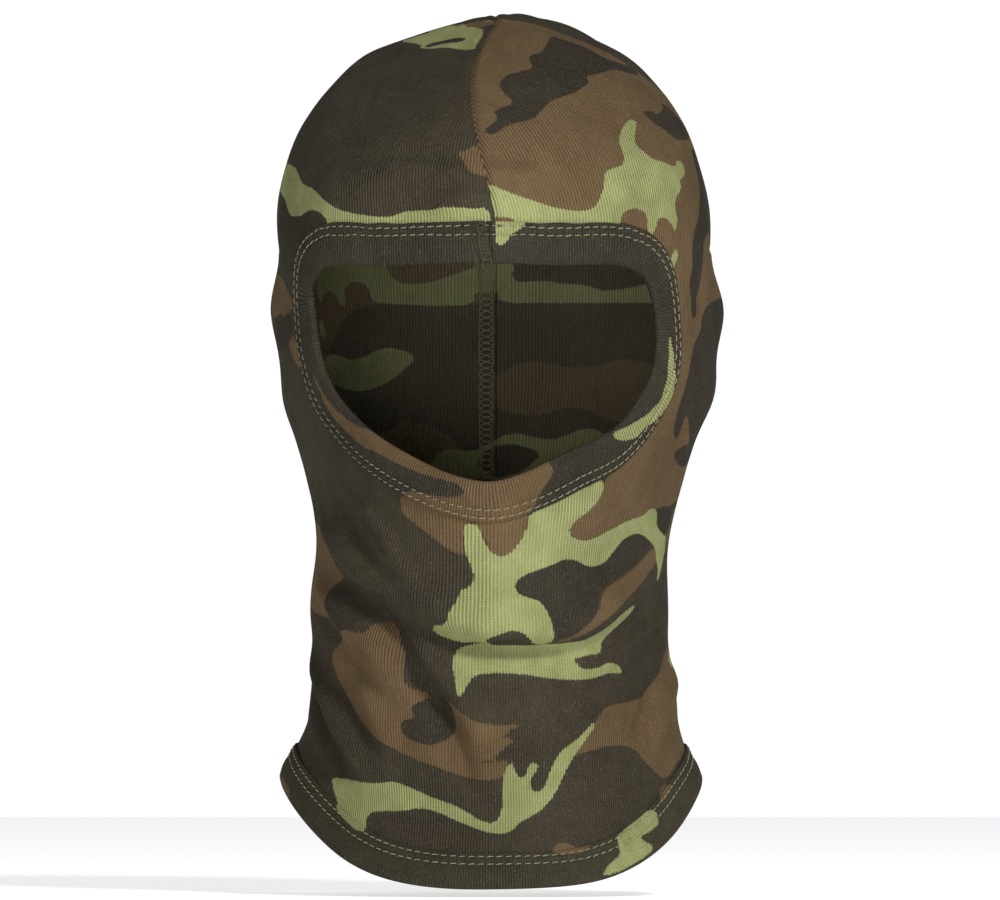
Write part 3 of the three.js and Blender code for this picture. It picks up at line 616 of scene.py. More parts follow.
# %% The shapes of the print
PRINT = [
    ("brown", "right",
     "3.5 323, 20 316.5, 37.5 309.5, 53.5 299.5, 66 287, 73 273.5, 75.5 259, 74.5 247.5, 78 242.5, "
     "79.5 230.5, 82 223, 83.5 217, 79.5 209.5, 76.5 203.5, 72 197, 70 186, 72 175, 73 167.5, 71.5 "
     "161.5, 70 152.5, 67.5 146.5, 65 141.5, 61 139.5, 58.5 140, 54.5 137.5, 48.5 135.5, 42.5 "
     "132.5, 37.5 129.5, 31.5 128, 27.5 129.5, 26.5 132.5, 28.5 136, 33 139, 36.5 142.5, 39 146.5, "
     "40.5 150.5, 46 157.5, 58.5 177.5, 64 194.5, 64.5 210.5, 62.5 223, 57 236.5, 48.5 241.5, 36 "
     "242.5, -3.5 242.5, -5.5 259, -7 263.5, -8 275, -9 287, -9 298, -8 308, -4.5 314.5, -1 320.5"),
    ("green", "right",
     "-6.5 260.5, -1 258.5, 6.5 255.5, 14 253, 21.5 250.5, 30 249, 36 250, 38.5 254, 40 259, 40 "
     "263.5, 43 265, 46.5 266, 47.5 268.5, 46 273, 45 275.5, 46.5 279.5, 48.5 282.5, 50.5 283.5, "
     "52 282, 51.5 279, 51 276, 52 273, 55.5 271, 58 268.5, 61 267.5, 64 266, 66 265.5, 65.5 "
     "267.5, 67.5 268, 69 265.5, 69 262.5, 67 260.5, 68 257.5, 66.5 255, 66 251.5, 67 247, 66.5 "
     "242.5, 65 242, 65 245, 62.5 247, 60 247, 58.5 242.5, 57.5 240.5, 55.5 242, 56 246.5, 54.5 "
     "249.5, 51 250.5, 47.5 249.5, 46 247.5, 45.5 242.5, 24 241.5, 8.5 241.5, 7 246.5, 3 247, -2 "
     "246.5, -5.5 241.5"),
    ("green", "right",
     "66.5 236.5, 67 233, 65.5 229, 64.5 226.5, 63.5 229, 64.5 233"),
    ("black", "right",
     "20 313.5, 24.5 312, 34.5 308.5, 40 305.5, 45.5 304, 50 302.5, 53.5 299.5, 48.5 300.5, 43.5 "
     "301.5, 38.5 300, 33 299, 34.5 296.5, 32.5 295, 29 292.5, 24 291, 20 289.5, 17 286, 14 283, 9 "
     "282, 4 280.5, 0 277.5, -2.5 277, -4.5 278.5, -2 280.5, 0.5 282.5, 0.5 284.5, -0.5 286, 2.5 "
     "287.5, 7 289, 3.5 292, 1.5 294.5, 2 297, 4.5 299, 9 300, 14 301.5, 12 305.5, 13.5 307, 16.5 "
     "307.5, 18.5 310"),
    ("black", "right",
     "53.5 286, 56.5 286, 59.5 284.5, 61.5 288, 60 290, 64.5 286.5, 67.5 283, 70.5 279, 71 276, 67 "
     "275.5, 64.5 277, 62.5 279, 59 281, 56 283.5"),
    ("black", "right",
     "72 273.5, 74.5 270, 76.5 261, 78 251.5, 78.5 242.5, 76.5 239, 76 234, 75.5 229, 74.5 222, "
     "73.5 217, 74 211.5, 73 209, 72 212.5, 72 217, 71 222, 72 229, 72 236.5, 73 242.5, 74.5 "
     "247.5, 74.5 259, 73.5 266"),
    ("black", "right",
     "83.5 220.5, 80.5 218.5, 77.5 215, 76 212, 75.5 205.5, 73 201, 71.5 194.5, 70.5 188.5, 69 "
     "182.5, 67 176, 65 167.5, 66.5 165, 69 170, 70.5 175, 71.5 168.5, 71 162, 74.5 167.5, 79.5 "
     "180, 82.5 192, 83.5 204.5"),
    ("brown", "left",
     "-38 312, -29 315.5, -18 319, -8 321.5, 2.5 323, 2.5 320.5, -4.5 316.5, -10.5 317.5, -18 317, "
     "-25.5 316, -32.5 314"),
    ("green", "left",
     "-34.5 312, -32.5 314.5, -25.5 316, -18 317, -10.5 318, -4.5 316.5, -4.5 314, -6.5 311.5, -8 "
     "308.5, -13 309, -18 309.5, -23 309, -28.5 309.5, -26.5 310.5, -32.5 311"),
    ("black", "left",
     "-26.5 310, -22 312, -14.5 313, -9.5 313, -13 311.5, -19.5 311, -25 309.5"),
    ("green", "left",
     "-79 267.5, -76.5 267.5, -74 266, -72.5 263.5, -71 259.5, -67.5 258, -65.5 256.5, -62 253, "
     "-57.5 250, -52.5 248.5, -46.5 247.5, -38 247, -34 249, -28 249.5, -23 249.5, -20.5 250.5, "
     "-13 250.5, -8 250, -4.5 250.5, -2 249, -1 242.5, -25.5 242.5, -50 242.5, -60.5 242.5, -62.5 "
     "247.5, -65 249.5, -67.5 250, -70 249, -71.5 247.5, -75 247.5, -76.5 250.5, -77.5 255, -79 "
     "260"),
    ("black", "left",
     "-79.5 246.5, -75 247.5, -71.5 247.5, -66 249, -62.5 247.5, -61 245, -63.5 242, -68 238.5, "
     "-72 230.5, -75.5 226, -78.5 229, -80.5 236.5, -80.5 242.5"),
    ("brown", "left",
     "-83.5 225.5, -79.5 227, -78 225, -75 217.5, -74 213.5, -75.5 212.5, -77 210.5, -78.5 212, "
     "-80.5 208.5, -83.5 210"),
    ("brown", "left",
     "-75.5 203.5, -73.5 203.5, -72 198.5, -71.5 190.5, -73.5 194.5, -75 198.5"),
    ("black", "left",
     "-83.5 209, -80.5 208, -78 209.5, -75.5 212, -74 209.5, -74 203.5, -76 199.5, -79 197, -82 "
     "199.5"),
    ("black", "left",
     "-78 180, -75 178, -72.5 172.5, -68.5 161.5, -72.5 161.5, -76 168.5"),
    ("brown", "left",
     "-14 271.5, -11.5 271, -8 273, -4 274, -3 262, -9 263, -11 266"),
    ("green", "band",
     "3 247.5, 11 247.5, 11 244.5, 9 242.5, 5.5 240.5, 4.5 238.5, 2.5 236.5, 0 237.5, 0.5 240.5, 0 "
     "242.5, 0 247.5"),
    ("green", "band",
     "62.5 204.5, 63.5 199.5, 64.5 192, 65 185, 63 178.5, 58.5 173.5, 53.5 170, 50 166, 44 165, "
     "41.5 167.5, 48.5 171, 54.5 175, 59.5 180, 61.5 187, 62 197"),
    ("brown", "band",
     "-67 193, -63.5 182.5, -59.5 175, -53 168, -46.5 162.5, -44 162, -33 156, -23 152, -13 149.5, "
     "-10.5 146.5, -12 145, -17.5 144.5, -28 146.5, -34 146, -26.5 141.5, -18 137.5, -8 134, -1 "
     "134.5, 9 137, 13 139.5, 14.5 144, 16 147.5, 19 151, 20.5 154, 19 157.5, 6.5 156, -1 154, -13 "
     "156.5, -31.5 165, -46.5 168.5, -56.5 175, -62.5 182.5"),
    ("brown", "body",
     "-34.5 145.5, -26.5 141.5, -18 137.5, -10.5 135.5, -1 135, 6.5 136, 13 139.5, 11.5 134, 11 "
     "130.5, 8.5 127, 5.5 123, 1.5 122, -1.5 123.5, -3.5 128, -5 131.5, -8 134, -11.5 133.5, -12 "
     "128, -10 122.5, -14.5 123.5, -20.5 127.5, -26.5 132.5, -31.5 136, -34.5 139.5"),
    ("brown", "body",
     "57 126, 57.5 122.5, 54.5 117.5, 51 112.5, 46 107, 38.5 99.5, 31.5 93.5, 24 90, 21 91, 27.5 "
     "93.5, 32.5 98.5, 36 104, 37.5 108.5, 40 111, 46 115.5, 51 120.5, 54.5 125"),
    ("brown", "body",
     "58 129, 62 133, 65.5 141, 67 137.5, 63 125.5, 61 124, 59.5 127"),
    ("brown", "body",
     "-68.5 136, -65 134.5, -62.5 128, -60.5 122, -57.5 115.5, -57 114, -59.5 111, -60.5 107, "
     "-60.5 103.5, -62 99.5, -63.5 99.5, -67 102.5, -70 107, -70.5 115.5, -70 128"),
    ("brown", "body",
     "-44.5 98, -42 98, -38.5 93.5, -37 89, -34.5 86, -34 83, -33.5 78.5, -31 74, -28 73, -25.5 "
     "71.5, -25 69.5, -28.5 69, -30 66.5, -28.5 64, -24 63, -24.5 62.5, -29 63, -33 62, -34 59.5, "
     "-32.5 56, -28 54, -23 53, -18 54.5, -15 57.5, -15 61.5, -17 66.5, -18 70.5, -13 66.5, -8 "
     "62.5, -3.5 61, 4 60, 10 61.5, 8.5 59.5, 4.5 57.5, 1.5 56, 6 55.5, 7.5 54.5, 4 52.5, 0.5 "
     "50.5, 4.5 50, -1 48.5, -6.5 47, -2 46.5, 4 47, 5.5 46.5, 3.5 41.5, -1 40, -7 40, -13 41.5, "
     "-18 43.5, -25.5 46.5, -33 49.5, -40.5 53.5, -46.5 57.5, -51.5 62.5, -54.5 67.5, -57.5 73, "
     "-59.5 77.5, -60.5 82.5, -60 86, -57.5 90, -56.5 94, -54 95.5, -50 94.5, -47 94, -46 96.5"),
    ("brown", "body",
     "61.5 86.5, 60 80, 58.5 74, 54.5 70, 48.5 68.5, 42.5 67.5, 39.5 66.5, 38 64, 35 59, 31.5 53, "
     "28 47.5, 33.5 50.5, 41 52.5, 47.5 52.5, 52 50.5, 54.5 46.5, 58.5 43, 62.5 39.5, 66.5 46.5, "
     "69.5 56.5, 69.5 69, 68.5 78.5, 67 86, 63.5 89"),
    ("brown", "body",
     "20 12.5, 22.5 16.5, 25.5 17, 30 15, 35 16, 31.5 12.5"),
    ("brown", "body",
     "60.5 35.5, 62.5 38, 64.5 37, 62.5 33, 60 31"),
    ("brown", "hem",
     "-81 45.5, -76 43.5, -74 37, -74.5 31.5, -77.5 33.5, -81 40.5"),
    ("green", "body",
     "40 149.5, 39.5 146.5, 37.5 143, 33 138.5, 29 136, 26.5 132.5, 27.5 129.5, 31.5 128, 36 129, "
     "42.5 132.5, 48.5 135.5, 54.5 137.5, 56 139.5, 58.5 140, 59.5 137.5, 58.5 134, 59 131, 61.5 "
     "127.5, 62 124.5, 60.5 122, 59 117.5, 59 113, 57.5 113.5, 57 118, 56 122.5, 55.5 127, 54 130, "
     "51 131, 46.5 128.5, 43.5 124.5, 40 120, 36 118.5, 32.5 119, 29.5 121, 25 121.5, 21.5 119.5, "
     "17.5 118, 14 117, 9.5 115, 7.5 113, 7 111, 9 108.5, 13 107, 16.5 106, 19 101, 20 94.5, 21 "
     "91, 17.5 89, 14 90, 12 93, 9.5 95.5, 6.5 96.5, 3 95.5, -1.5 93.5, -4 91, -2 87, -7 "
     "87.5, -13 88.5, -18 90.5, -22 92.5, -23.5 93.5, -24 95, -22.5 97, -18 97.5, -16 100.5, -15.5 "
     "103.5, -13 106.5, -13 109.5, -9 111.5, -7.5 114, -8 117, -10.5 122.5, -11.5 128, -12 132.5, "
     "-10.5 134.5, -8 134.5, -5.5 132.5, -4.5 128.5, -2.5 125, 0.5 122.5, 4 122.5, 7 125, 9.5 "
     "128.5, 11.5 133, 12.5 138.5, 19 141.5, 27.5 146.5, 34.5 152.5"),
    ("green", "body",
     "-15.5 86.5, -10.5 87, -1 86, 9 86, 17.5 87, 26.5 89.5, 33.5 91, 37.5 93.5, 41 96.5, 45 101, "
     "48.5 103.5, 51 104.5, 50 101, 46.5 97, 43.5 93.5, 41.5 90.5, 40 86, 35 85, 30.5 83.5, 29.5 "
     "82, 33 80.5, 37.5 81, 41 83, 44 83, 46.5 80.5, 46 79, 43.5 79.5, 41 79.5, 37.5 78, 32.5 77, "
     "24 77, 17.5 78, 11.5 79, 4 79.5, -3.5 80, -8 79, -10 76, -11.5 72.5, -12.5 71, -13.5 74, "
     "-14.5 78.5, -15.5 83"),
    ("green", "body",
     "-60.5 40.5, -55 40, -49 39, -42.5 38.5, -38 39.5, -33 38, -26.5 35, -20.5 32.5, -14.5 30.5, "
     "-9.5 27.5, -5.5 25, -2 24, 1 25, 2.5 29.5, 2.5 35.5, 3 41.5, 4.5 45.5, 6 48, 7 44, 8 41.5, "
     "9.5 40.5, 11.5 41.5, 12 45, 14 46.5, 16 46, 15.5 43.5, 13.5 41.5, 12.5 38, 14 35.5, 17 36, "
     "19 40, 21 45.5, 24 50.5, 29 54, 32.5 57.5, 35.5 61.5, 36.5 60, 33.5 55.5, 30.5 51, 27.5 "
     "46.5, 24.5 40.5, 21.5 34.5, 17.5 29.5, 13 26.5, 9 24.5, 6.5 21.5, 3 20, -2 20.5, -7 22, -13 "
     "24.5, -19.5 27.5, -25.5 29.5, -29 29.5, -34 28.5, -40.5 28.5, -45 28, -47.5 25.5, -47 20.5, "
     "-50 20.5, -54.5 24.5, -57.5 28, -58 32, -59.5 36"),
    ("green", "body",
     "63.5 86.5, 66 84, 66 79.5, 64 80, 63 83.5"),
    ("green", "hem",
     "44 18.5, 47.5 22, 51 25, 56 28.5, 58.5 27, 59 23, 56.5 20.5, 52 18, 54 16, 57 15, 56.5 12.5, "
     "52 9.5, 46 6, 38.5 4, 41.5 8.5, 45.5 12, 44.5 16"),
    ("black", "body",
     "-34 59.5, -33 62, -29 63, -24 62.5, -28.5 64, -30 66.5, -28.5 68.5, -25 69, -23 66.5, -20.5 "
     "70, -18 70.5, -16 66.5, -15 60, -17 56, -22 53, -28 54, -32.5 56.5"),
    ("black", "body",
     "65.5 160.5, 68 162.5, 72.5 164.5, 72 159.5, 69 155, 67 156, 65.5 158.5"),
    ("black", "body",
     "59.5 139.5, 62.5 141, 64.5 138.5, 62.5 134, 60.5 130, 59 132.5, 59 136"),
    ("black", "body",
     "-57 114, -50 112, -42.5 109.5, -38 107, -40.5 103.5, -46.5 101, -51.5 96, -56.5 94, -58 90, "
     "-60 91, -60.5 99.5, -60.5 107, -59.5 111"),
    ("black", "body",
     "-46.5 139, -41 133, -38 124.5, -39.5 122, -45 129.5, -50 135.5"),
    ("black", "body",
     "9.5 114.5, 17.5 118, 25 121, 29.5 120.5, 32.5 118.5, 36 118, 40 119.5, 43.5 123.5, 46.5 "
     "128.5, 51 130.5, 54.5 129.5, 54.5 127, 50 120.5, 43.5 114.5, 38.5 111, 36 107, 34.5 102, "
     "31.5 98, 26.5 93.5, 21.5 92.5, 20 96, 19 101, 16.5 106, 11.5 107.5, 7.5 109, 7.5 112.5"),
    ("black", "body",
     "-3.5 89.5, -1 91, 3.5 92.5, 6.5 93, 9.5 92.5, 11.5 90, 14 88.5, 10.5 87, 4 87, -1.5 87"),
]
BEHIND = [  # shapes that fill the back of the head, where the front has its opening
    ("brown", "-66 214, -48 222, -30 217, -10 221, 4 212, 0 202, -16 199, -30 204, -44 197, -58 200"),
    ("brown", "14 190, 30 198, 52 196, 66 186, 60 174, 44 172, 34 163, 20 170"),
    ("green", "-48 190, -36 196, -22 190, -6 194, 8 186, 22 188, 30 180, 18 174, 4 177, -10 170, -24 176, "
     "-30 168, -40 172"),
    ("green", "28 222, 40 226, 52 220, 62 224, 66 214, 52 208, 40 212"),
    ("black", "-20 186, -4 190, 10 183, 2 176, -12 179"),
    ("black", "36 204, 52 208, 62 200, 50 192, 38 196"),
    ("black", "-62 186, -50 190, -44 178, -54 168, -64 174"),
]
INKS = ("brown", "green", "black")
FARTHEST = 6.0  # distances are kept up to this
PRINT_MEETS = math.radians(97)  # where the print of the front meets the print of the back
BACK_PRINT_DROP = 26.0  # how much lower the same shapes lie on the back


def rounded(outline):
    """One pass of corner cutting, which turns a drawn outline into a printed one."""
    after = np.roll(outline, -1, 0)
    cut = np.stack([0.8 * outline + 0.2 * after, 0.2 * outline + 0.8 * after], 1)
    return cut.reshape(-1, 2)


def inside_by(spots, outline):
    """How far each flat spot lies inside a closed outline, below zero outside."""
    depth = np.full(len(spots), -FARTHEST)
    reach = outline.min(0) - FARTHEST, outline.max(0) + FARTHEST
    near = np.flatnonzero(((spots > reach[0]) & (spots < reach[1])).all(1))
    if not len(near):
        return depth
    spot = spots[near]
    best = np.full(len(near), FARTHEST ** 2)
    within = np.zeros(len(near), bool)
    for a, b in zip(outline, np.roll(outline, -1, 0)):
        side = b - a
        t = np.clip(((spot - a) @ side) / max(side @ side, 1e-9), 0, 1)
        best = np.minimum(best, ((spot - a - t[:, None] * side) ** 2).sum(1))
        if a[1] != b[1]:
            crossing = a[0] + (spot[:, 1] - a[1]) / (b[1] - a[1]) * side[0]
            within ^= ((a[1] > spot[:, 1]) != (b[1] > spot[:, 1])) & (spot[:, 0] < crossing)
    depth[near] = np.where(within, 1, -1) * np.sqrt(best)
    return depth


def flat_outline(text):
    """An outline drawn as it looks from the front, laid flat. What reaches the side goes on round it."""
    drawn = pairs(text)
    angle, up = place_seen_at(drawn[:, 0], drawn[:, 1])
    beyond = np.abs(angle) > math.radians(84)
    angle = np.where(beyond, np.sign(angle) * math.radians(100), angle)
    return rounded(flat_place(angle, up))


LAID = [(ink, where, flat_outline(text)) for ink, where, text in PRINT]
LAID_BEHIND = [(ink, flat_outline(text)) for ink, text in BEHIND]
print("shapes:", len(LAID), "points:", sum(len(o) for _, _, o in LAID))


def ink_depths(angle, up, piece):
    """The depth of each ink at each place of the body, the face band or the hem band."""
    angle, up = np.ravel(angle), np.ravel(up)
    flat = flat_place(angle, up)
    across_back = wrapped(angle - math.pi) * ROUND_SIZE * shrink_at(up)
    behind = np.stack([across_back, up + BACK_PRINT_DROP], -1)
    off_seam = wrapped(angle - seam_angle(up)) * ROUND_SIZE * shrink_at(up)
    ragged = 5 * np.sin(up * 0.09 + 1.5 * np.sign(angle)) + 3 * np.sin(up * 0.23)
    limit = ROUND_SIZE * (PRINT_MEETS - np.abs(wrapped(angle))) + ragged
    depths = {ink: np.full(len(angle), -FARTHEST) for ink in INKS}
    for ink, where, outline in LAID:
        if where in ("band", "hem") and where != piece:
            continue
        if piece == "band" and where != "band":
            continue
        if piece == "hem" and where not in ("hem", "body"):
            continue
        depth = np.minimum(inside_by(flat, outline), limit)
        if where == "right":
            depth = np.minimum(depth, off_seam)
        if where == "left":
            depth = np.minimum(depth, -off_seam)
        depths[ink] = np.maximum(depths[ink], depth)
        if piece == "body":
            again = np.minimum(inside_by(behind, outline), -limit)
            depths[ink] = np.maximum(depths[ink], again)
    if piece == "body":
        for ink, outline in LAID_BEHIND:
            again = np.minimum(inside_by(behind, outline), -limit)
            depths[ink] = np.maximum(depths[ink], again)
    return {ink: np.clip(depth, -FARTHEST, FARTHEST) for ink, depth in depths.items()}


# %% [markdown]
# ## Turning places into pieces
#
# Every piece ends up in metres in the frame's own space. The helper below also writes the print's
# distances and the flat coordinates that the knit's ribs follow.

# %% Mesh helper
scene = bpy.context.scene


def make_piece(name, points, faces, ribs=None, depths=None, smooth=True):
    """A mesh object from points in millimetres. ribs are flat coordinates of its corners in metres."""
    mesh = bpy.data.meshes.new(name)
    placed = (np.asarray(points, float) - [0, 0, FALL]) * MM
    mesh.from_pydata(placed.tolist(), [], [list(map(int, f)) for f in faces])
    for ink, values in (depths or {}).items():
        mesh.attributes.new(ink, "FLOAT", "POINT").data.foreach_set("value", values.astype(np.float32))
    if ribs is not None:
        corner = np.zeros(len(mesh.loops), np.int32)
        mesh.loops.foreach_get("vertex_index", corner)
        layer = mesh.uv_layers.new(name="knit")
        layer.data.foreach_set("uv", ribs[corner].astype(np.float32).ravel())
    if smooth:
        mesh.shade_smooth()
    piece = bpy.data.objects.new(name, mesh)
    scene.collection.objects.link(piece)
    return piece


def grid_faces(rows, columns, wrap_rows=False, wrap_columns=False):
    """Quads between neighbouring rows and columns of a grid of points."""
    i = np.arange(rows if wrap_rows else rows - 1)[:, None]
    j = np.arange(columns if wrap_columns else columns - 1)[None, :]
    i2, j2 = (i + 1) % rows, (j + 1) % columns
    corners = [i * columns + j, i2 * columns + j, i2 * columns + j2, i * columns + j2]
    return np.stack([c + 0 * i + 0 * j for c in corners], -1).reshape(-1, 4)


# %% [markdown]
# ## The body
#
# The body is one continuous piece of cloth with two faces: the printed right side and the paler wrong
# side, which shows through the opening. It is a grid of places, finer in front, with extra columns
# beside the seams. The quads inside the face opening are left out; their ragged edge hides in the
# band's fold, as the real cloth's raw edge does.

# %% The body cloth
FINE, COARSE = 1.6, 3.4  # column widths in front and behind
ROW = 1.8
DOME_ROW = 2.1
FINE_TO = math.radians(96)  # the fine columns reach this far round each side
SEAM_CLEAR = 5.6  # plain columns keep this far from a seam
beside_seam = np.array([0.5, 1.0, 1.6, 2.4, 3.4, 4.8])


SEAM_ANGLES = (0, QUARTER, -QUARTER, math.pi)


def column_angles():
    front = np.arange(-FINE_TO, FINE_TO, FINE / ROUND_SIZE)
    behind = np.arange(FINE_TO, 2 * math.pi - FINE_TO, COARSE / ROUND_SIZE)
    plain = np.concatenate([front, behind])
    plain = np.arctan2(np.sin(plain), np.cos(plain))
    extra = [
        seam + side * np.r_[0, beside_seam] / ROUND_SIZE for seam in SEAM_ANGLES for side in (-1, 1)
    ]
    clear = [np.abs(wrapped(plain - seam)) * ROUND_SIZE > SEAM_CLEAR for seam in SEAM_ANGLES]
    kept = plain[np.logical_and.reduce(clear)]
    return np.unique(np.round(wrapped(np.concatenate([kept, *extra])), 6))


columns = column_angles()
wall_rows = math.ceil((TEMPLE - HEM_BAND) / ROW)
dome_rows = math.ceil(DOME_LENGTH / DOME_ROW)
start = hem_height(columns) + HEM_BAND - TUCK
wall_shares = np.linspace(0, 1, wall_rows, endpoint=False)[:, None]
wall = start[None, :] + (TEMPLE - start)[None, :] * wall_shares
dome = np.repeat(np.linspace(TEMPLE, CROWN_AT - 0.6, dome_rows)[:, None], len(columns), 1)
body_up = np.concatenate([wall, dome])
body_angle = np.repeat(columns[None, :], len(body_up), 0)
drift = seam_angle(body_up) * np.exp(-((body_angle / 0.5) ** 2))
body_angle = body_angle + drift

right_side = worn_body(body_angle, body_up, CLOTH / 2).reshape(-1, 3)
wrong_side = worn_body(body_angle, body_up, -CLOTH / 2).reshape(-1, 3)
count = len(right_side)
rows_made, columns_made = body_up.shape
print(f"body grid {rows_made} by {columns_made}")


def within_loop(spots, line):
    """Which flat spots lie inside a closed line over the cloth."""
    return inside_by(spots, flat_place(line[0], line[1])) > 0


flat_body = flat_place(body_angle.ravel(), body_up.ravel())
raw_edge = opening.places(FACE_BAND - TUCK)
inside = within_loop(flat_body, raw_edge)
inside &= np.abs(wrapped(body_angle.ravel())) < QUARTER * 1.05
outer_faces = grid_faces(rows_made, columns_made, wrap_columns=True)[:, ::-1]
outer_faces = outer_faces[~inside[outer_faces].all(1)]
crown = cloth_point(0.0, CROWN_AT) + np.array([[0, 0, CLOTH / 2], [0, 0, -CLOTH / 2]])
top_row = (rows_made - 1) * columns_made + np.arange(columns_made)
cap = [[a, b, 2 * count] for a, b in zip(top_row, np.roll(top_row, -1))]
inner_cap = [[b + count, a + count, 2 * count + 1] for a, b in zip(top_row, np.roll(top_row, -1))]


def rim_faces(faces, shift):
    """Quads that join the free edges of the right side to the same edges of the wrong side."""
    edges = np.concatenate([faces[:, [k, (k + 1) % 4]] for k in range(4)])
    found = {}
    for a, b in edges.tolist():
        found[(min(a, b), max(a, b))] = None if (min(a, b), max(a, b)) in found else (a, b)
    return [[b, a, a + shift, b + shift] for a, b in filter(None, found.values())]


top = set(top_row.tolist())
rim = [f for f in rim_faces(outer_faces, count) if not (f[0] in top and f[1] in top)]
all_points = np.concatenate([right_side, wrong_side, crown])
faces = [*outer_faces.tolist(), *cap]
right_count = len(faces)
faces += [*(outer_faces[:, ::-1] + count).tolist(), *inner_cap, *rim]


def gore_ribs(angle, up, middle):
    """Flat coordinates for the knit: ribs run up the wall, and slant to the seams on the gores."""
    turned = middle + wrapped(angle - middle)
    narrowing = shrink_at(np.maximum(up, TEMPLE + 18)) / shrink_at(np.float64(TEMPLE + 18))
    across = ((turned - middle) * narrowing + middle) * ROUND_SIZE
    return np.stack([across, up], -1) * MM


body_inks = ink_depths(body_angle, body_up, "body")
body_inks = {ink: np.concatenate([d, d, [-FARTHEST] * 2]) for ink, d in body_inks.items()}
used = np.unique(np.concatenate([np.ravel(face) for face in faces]))
new_number = np.full(len(all_points), -1)
new_number[used] = np.arange(len(used))
faces = [[int(new_number[k]) for k in face] for face in faces]
body_inks = {ink: depth[used] for ink, depth in body_inks.items()}
body = make_piece("body_cloth", all_points[used], faces, None, body_inks)

# the knit of a quad belongs to one gore, so its corners are laid out from the middle of that gore
from_seam = (body_angle - drift).ravel()
place_angle = np.concatenate([from_seam, from_seam, [0, 0]])[used]
place_up = np.concatenate([body_up.ravel(), body_up.ravel(), [CROWN_AT] * 2])[used]
owner = np.repeat(np.arange(len(faces)), [len(face) for face in faces])
corner = np.array([k for face in faces for k in face])
first = np.array([face[0] for face in faces])
offset = wrapped(place_angle[corner] - place_angle[first][owner])
centre = place_angle[first] + np.bincount(owner, offset) / np.bincount(owner)
gore = (np.floor(wrapped(centre) / QUARTER) + 0.5) * QUARTER
layer = body.data.uv_layers.new(name="knit")
knit_place = gore_ribs(place_angle[corner], place_up[corner], gore[owner])
layer.data.foreach_set("uv", knit_place.astype(np.float32).ravel())
print("body faces:", len(faces), "points:", len(used))

# %% [markdown]
# ## The folded bands
#
# Each band is a strip of the same rib knit, folded lengthwise over the raw edge of the body and held by
# two rows of stitches. Its section is drawn once: a round fold, a top that puffs up between the fold and
# the first row, a dip at each row, and a thin open edge that lies on the body. Along the band every
# needle hole pulls the cloth down a little, and where the strip's two ends are sewn together there is a
# short seam across it.

# %% Band section
BAND_FOLD = 1.6  # radius of the fold
OPEN_EDGE = 1.25  # how high the open edge stands


def facing_out(points, faces):
    """The faces, turned over if they enclose a negative volume."""
    a, b, c, d = (points[faces[:, k]] for k in range(4))
    volume = (a * np.cross(b, c)).sum() + (a * np.cross(c, d)).sum()
    return faces if volume > 0 else faces[:, ::-1]


def band_top(out, width):
    """Height of the band's outer face above the middle of the cloth, from the fold to the open edge."""
    inner_row = width - OUTER_ROW - ROW_SPACING
    share = np.clip((out - BAND_FOLD) / (inner_row - BAND_FOLD), 0, 1)
    puff = 0.28 * np.sin(math.pi * share)
    between = 0.22 * np.exp(-(((out - inner_row - ROW_SPACING / 2) / 0.9) ** 2))
    edge = (BAND_FOLD - 0.1 - OPEN_EDGE) * np.clip((out - width + 2.4) / 2.4, 0, 1) ** 2
    return BAND_FOLD + puff + between - edge


def band_section(width):
    """The section as out, off and a sign that says which face a point belongs to."""
    turn = np.linspace(math.pi / 2, 3 * math.pi / 2, 9)
    rows = width - OUTER_ROW - ROW_SPACING * np.array([1, 0])
    tops = np.unique(np.r_[np.linspace(2.4, width - 0.5, 14), rows, rows - 0.8, rows + 0.8])[::-1]
    top = np.stack([tops, band_top(tops, width)], -1)
    edge = np.array([[width, OPEN_EDGE - 0.25], [width, 0.8], [width - 0.5, 0.62]])
    slot = np.array([[width - 3, 0.62], [width - TUCK - 1.5, 0.62]])
    upper = np.concatenate([slot[::-1], edge[::-1], top])
    fold = np.stack([BAND_FOLD + BAND_FOLD * np.cos(turn), BAND_FOLD * np.sin(turn)], -1)
    lower = (upper * [1, -1])[::-1]
    return np.concatenate([upper, fold, lower])


def needle_dips(line, out, width):
    """How the needle holes and the thread's pull dent a band, along it and across it."""
    beat = 0.5 + 0.5 * np.cos(2 * math.pi * line.along / STITCH_PITCH)
    dent = np.zeros_like(line.along)
    for row in (width - OUTER_ROW, width - OUTER_ROW - ROW_SPACING):
        dent = dent + (0.22 + 0.3 * beat) * math.exp(-(((out - row) / 0.75) ** 2))
    pucker = 0.16 * np.sin(2 * math.pi * line.along / 7.3 + np.sin(line.along / 19) * 2)
    return dent - pucker * math.exp(-(((out - width * 0.42) / 3.2) ** 2))


JOIN_LEAN = 2.6  # how far the join slants across the band


def join_profile(distance):
    """The sewn ends of a band: turned to the left as a raised lip, with a crease on their right."""
    lip = 1.15 * np.exp(-(((distance + 2.2) / 1.9) ** 4))
    return lip - 1.3 * np.exp(-(((distance - 0.1) / 0.5) ** 2))


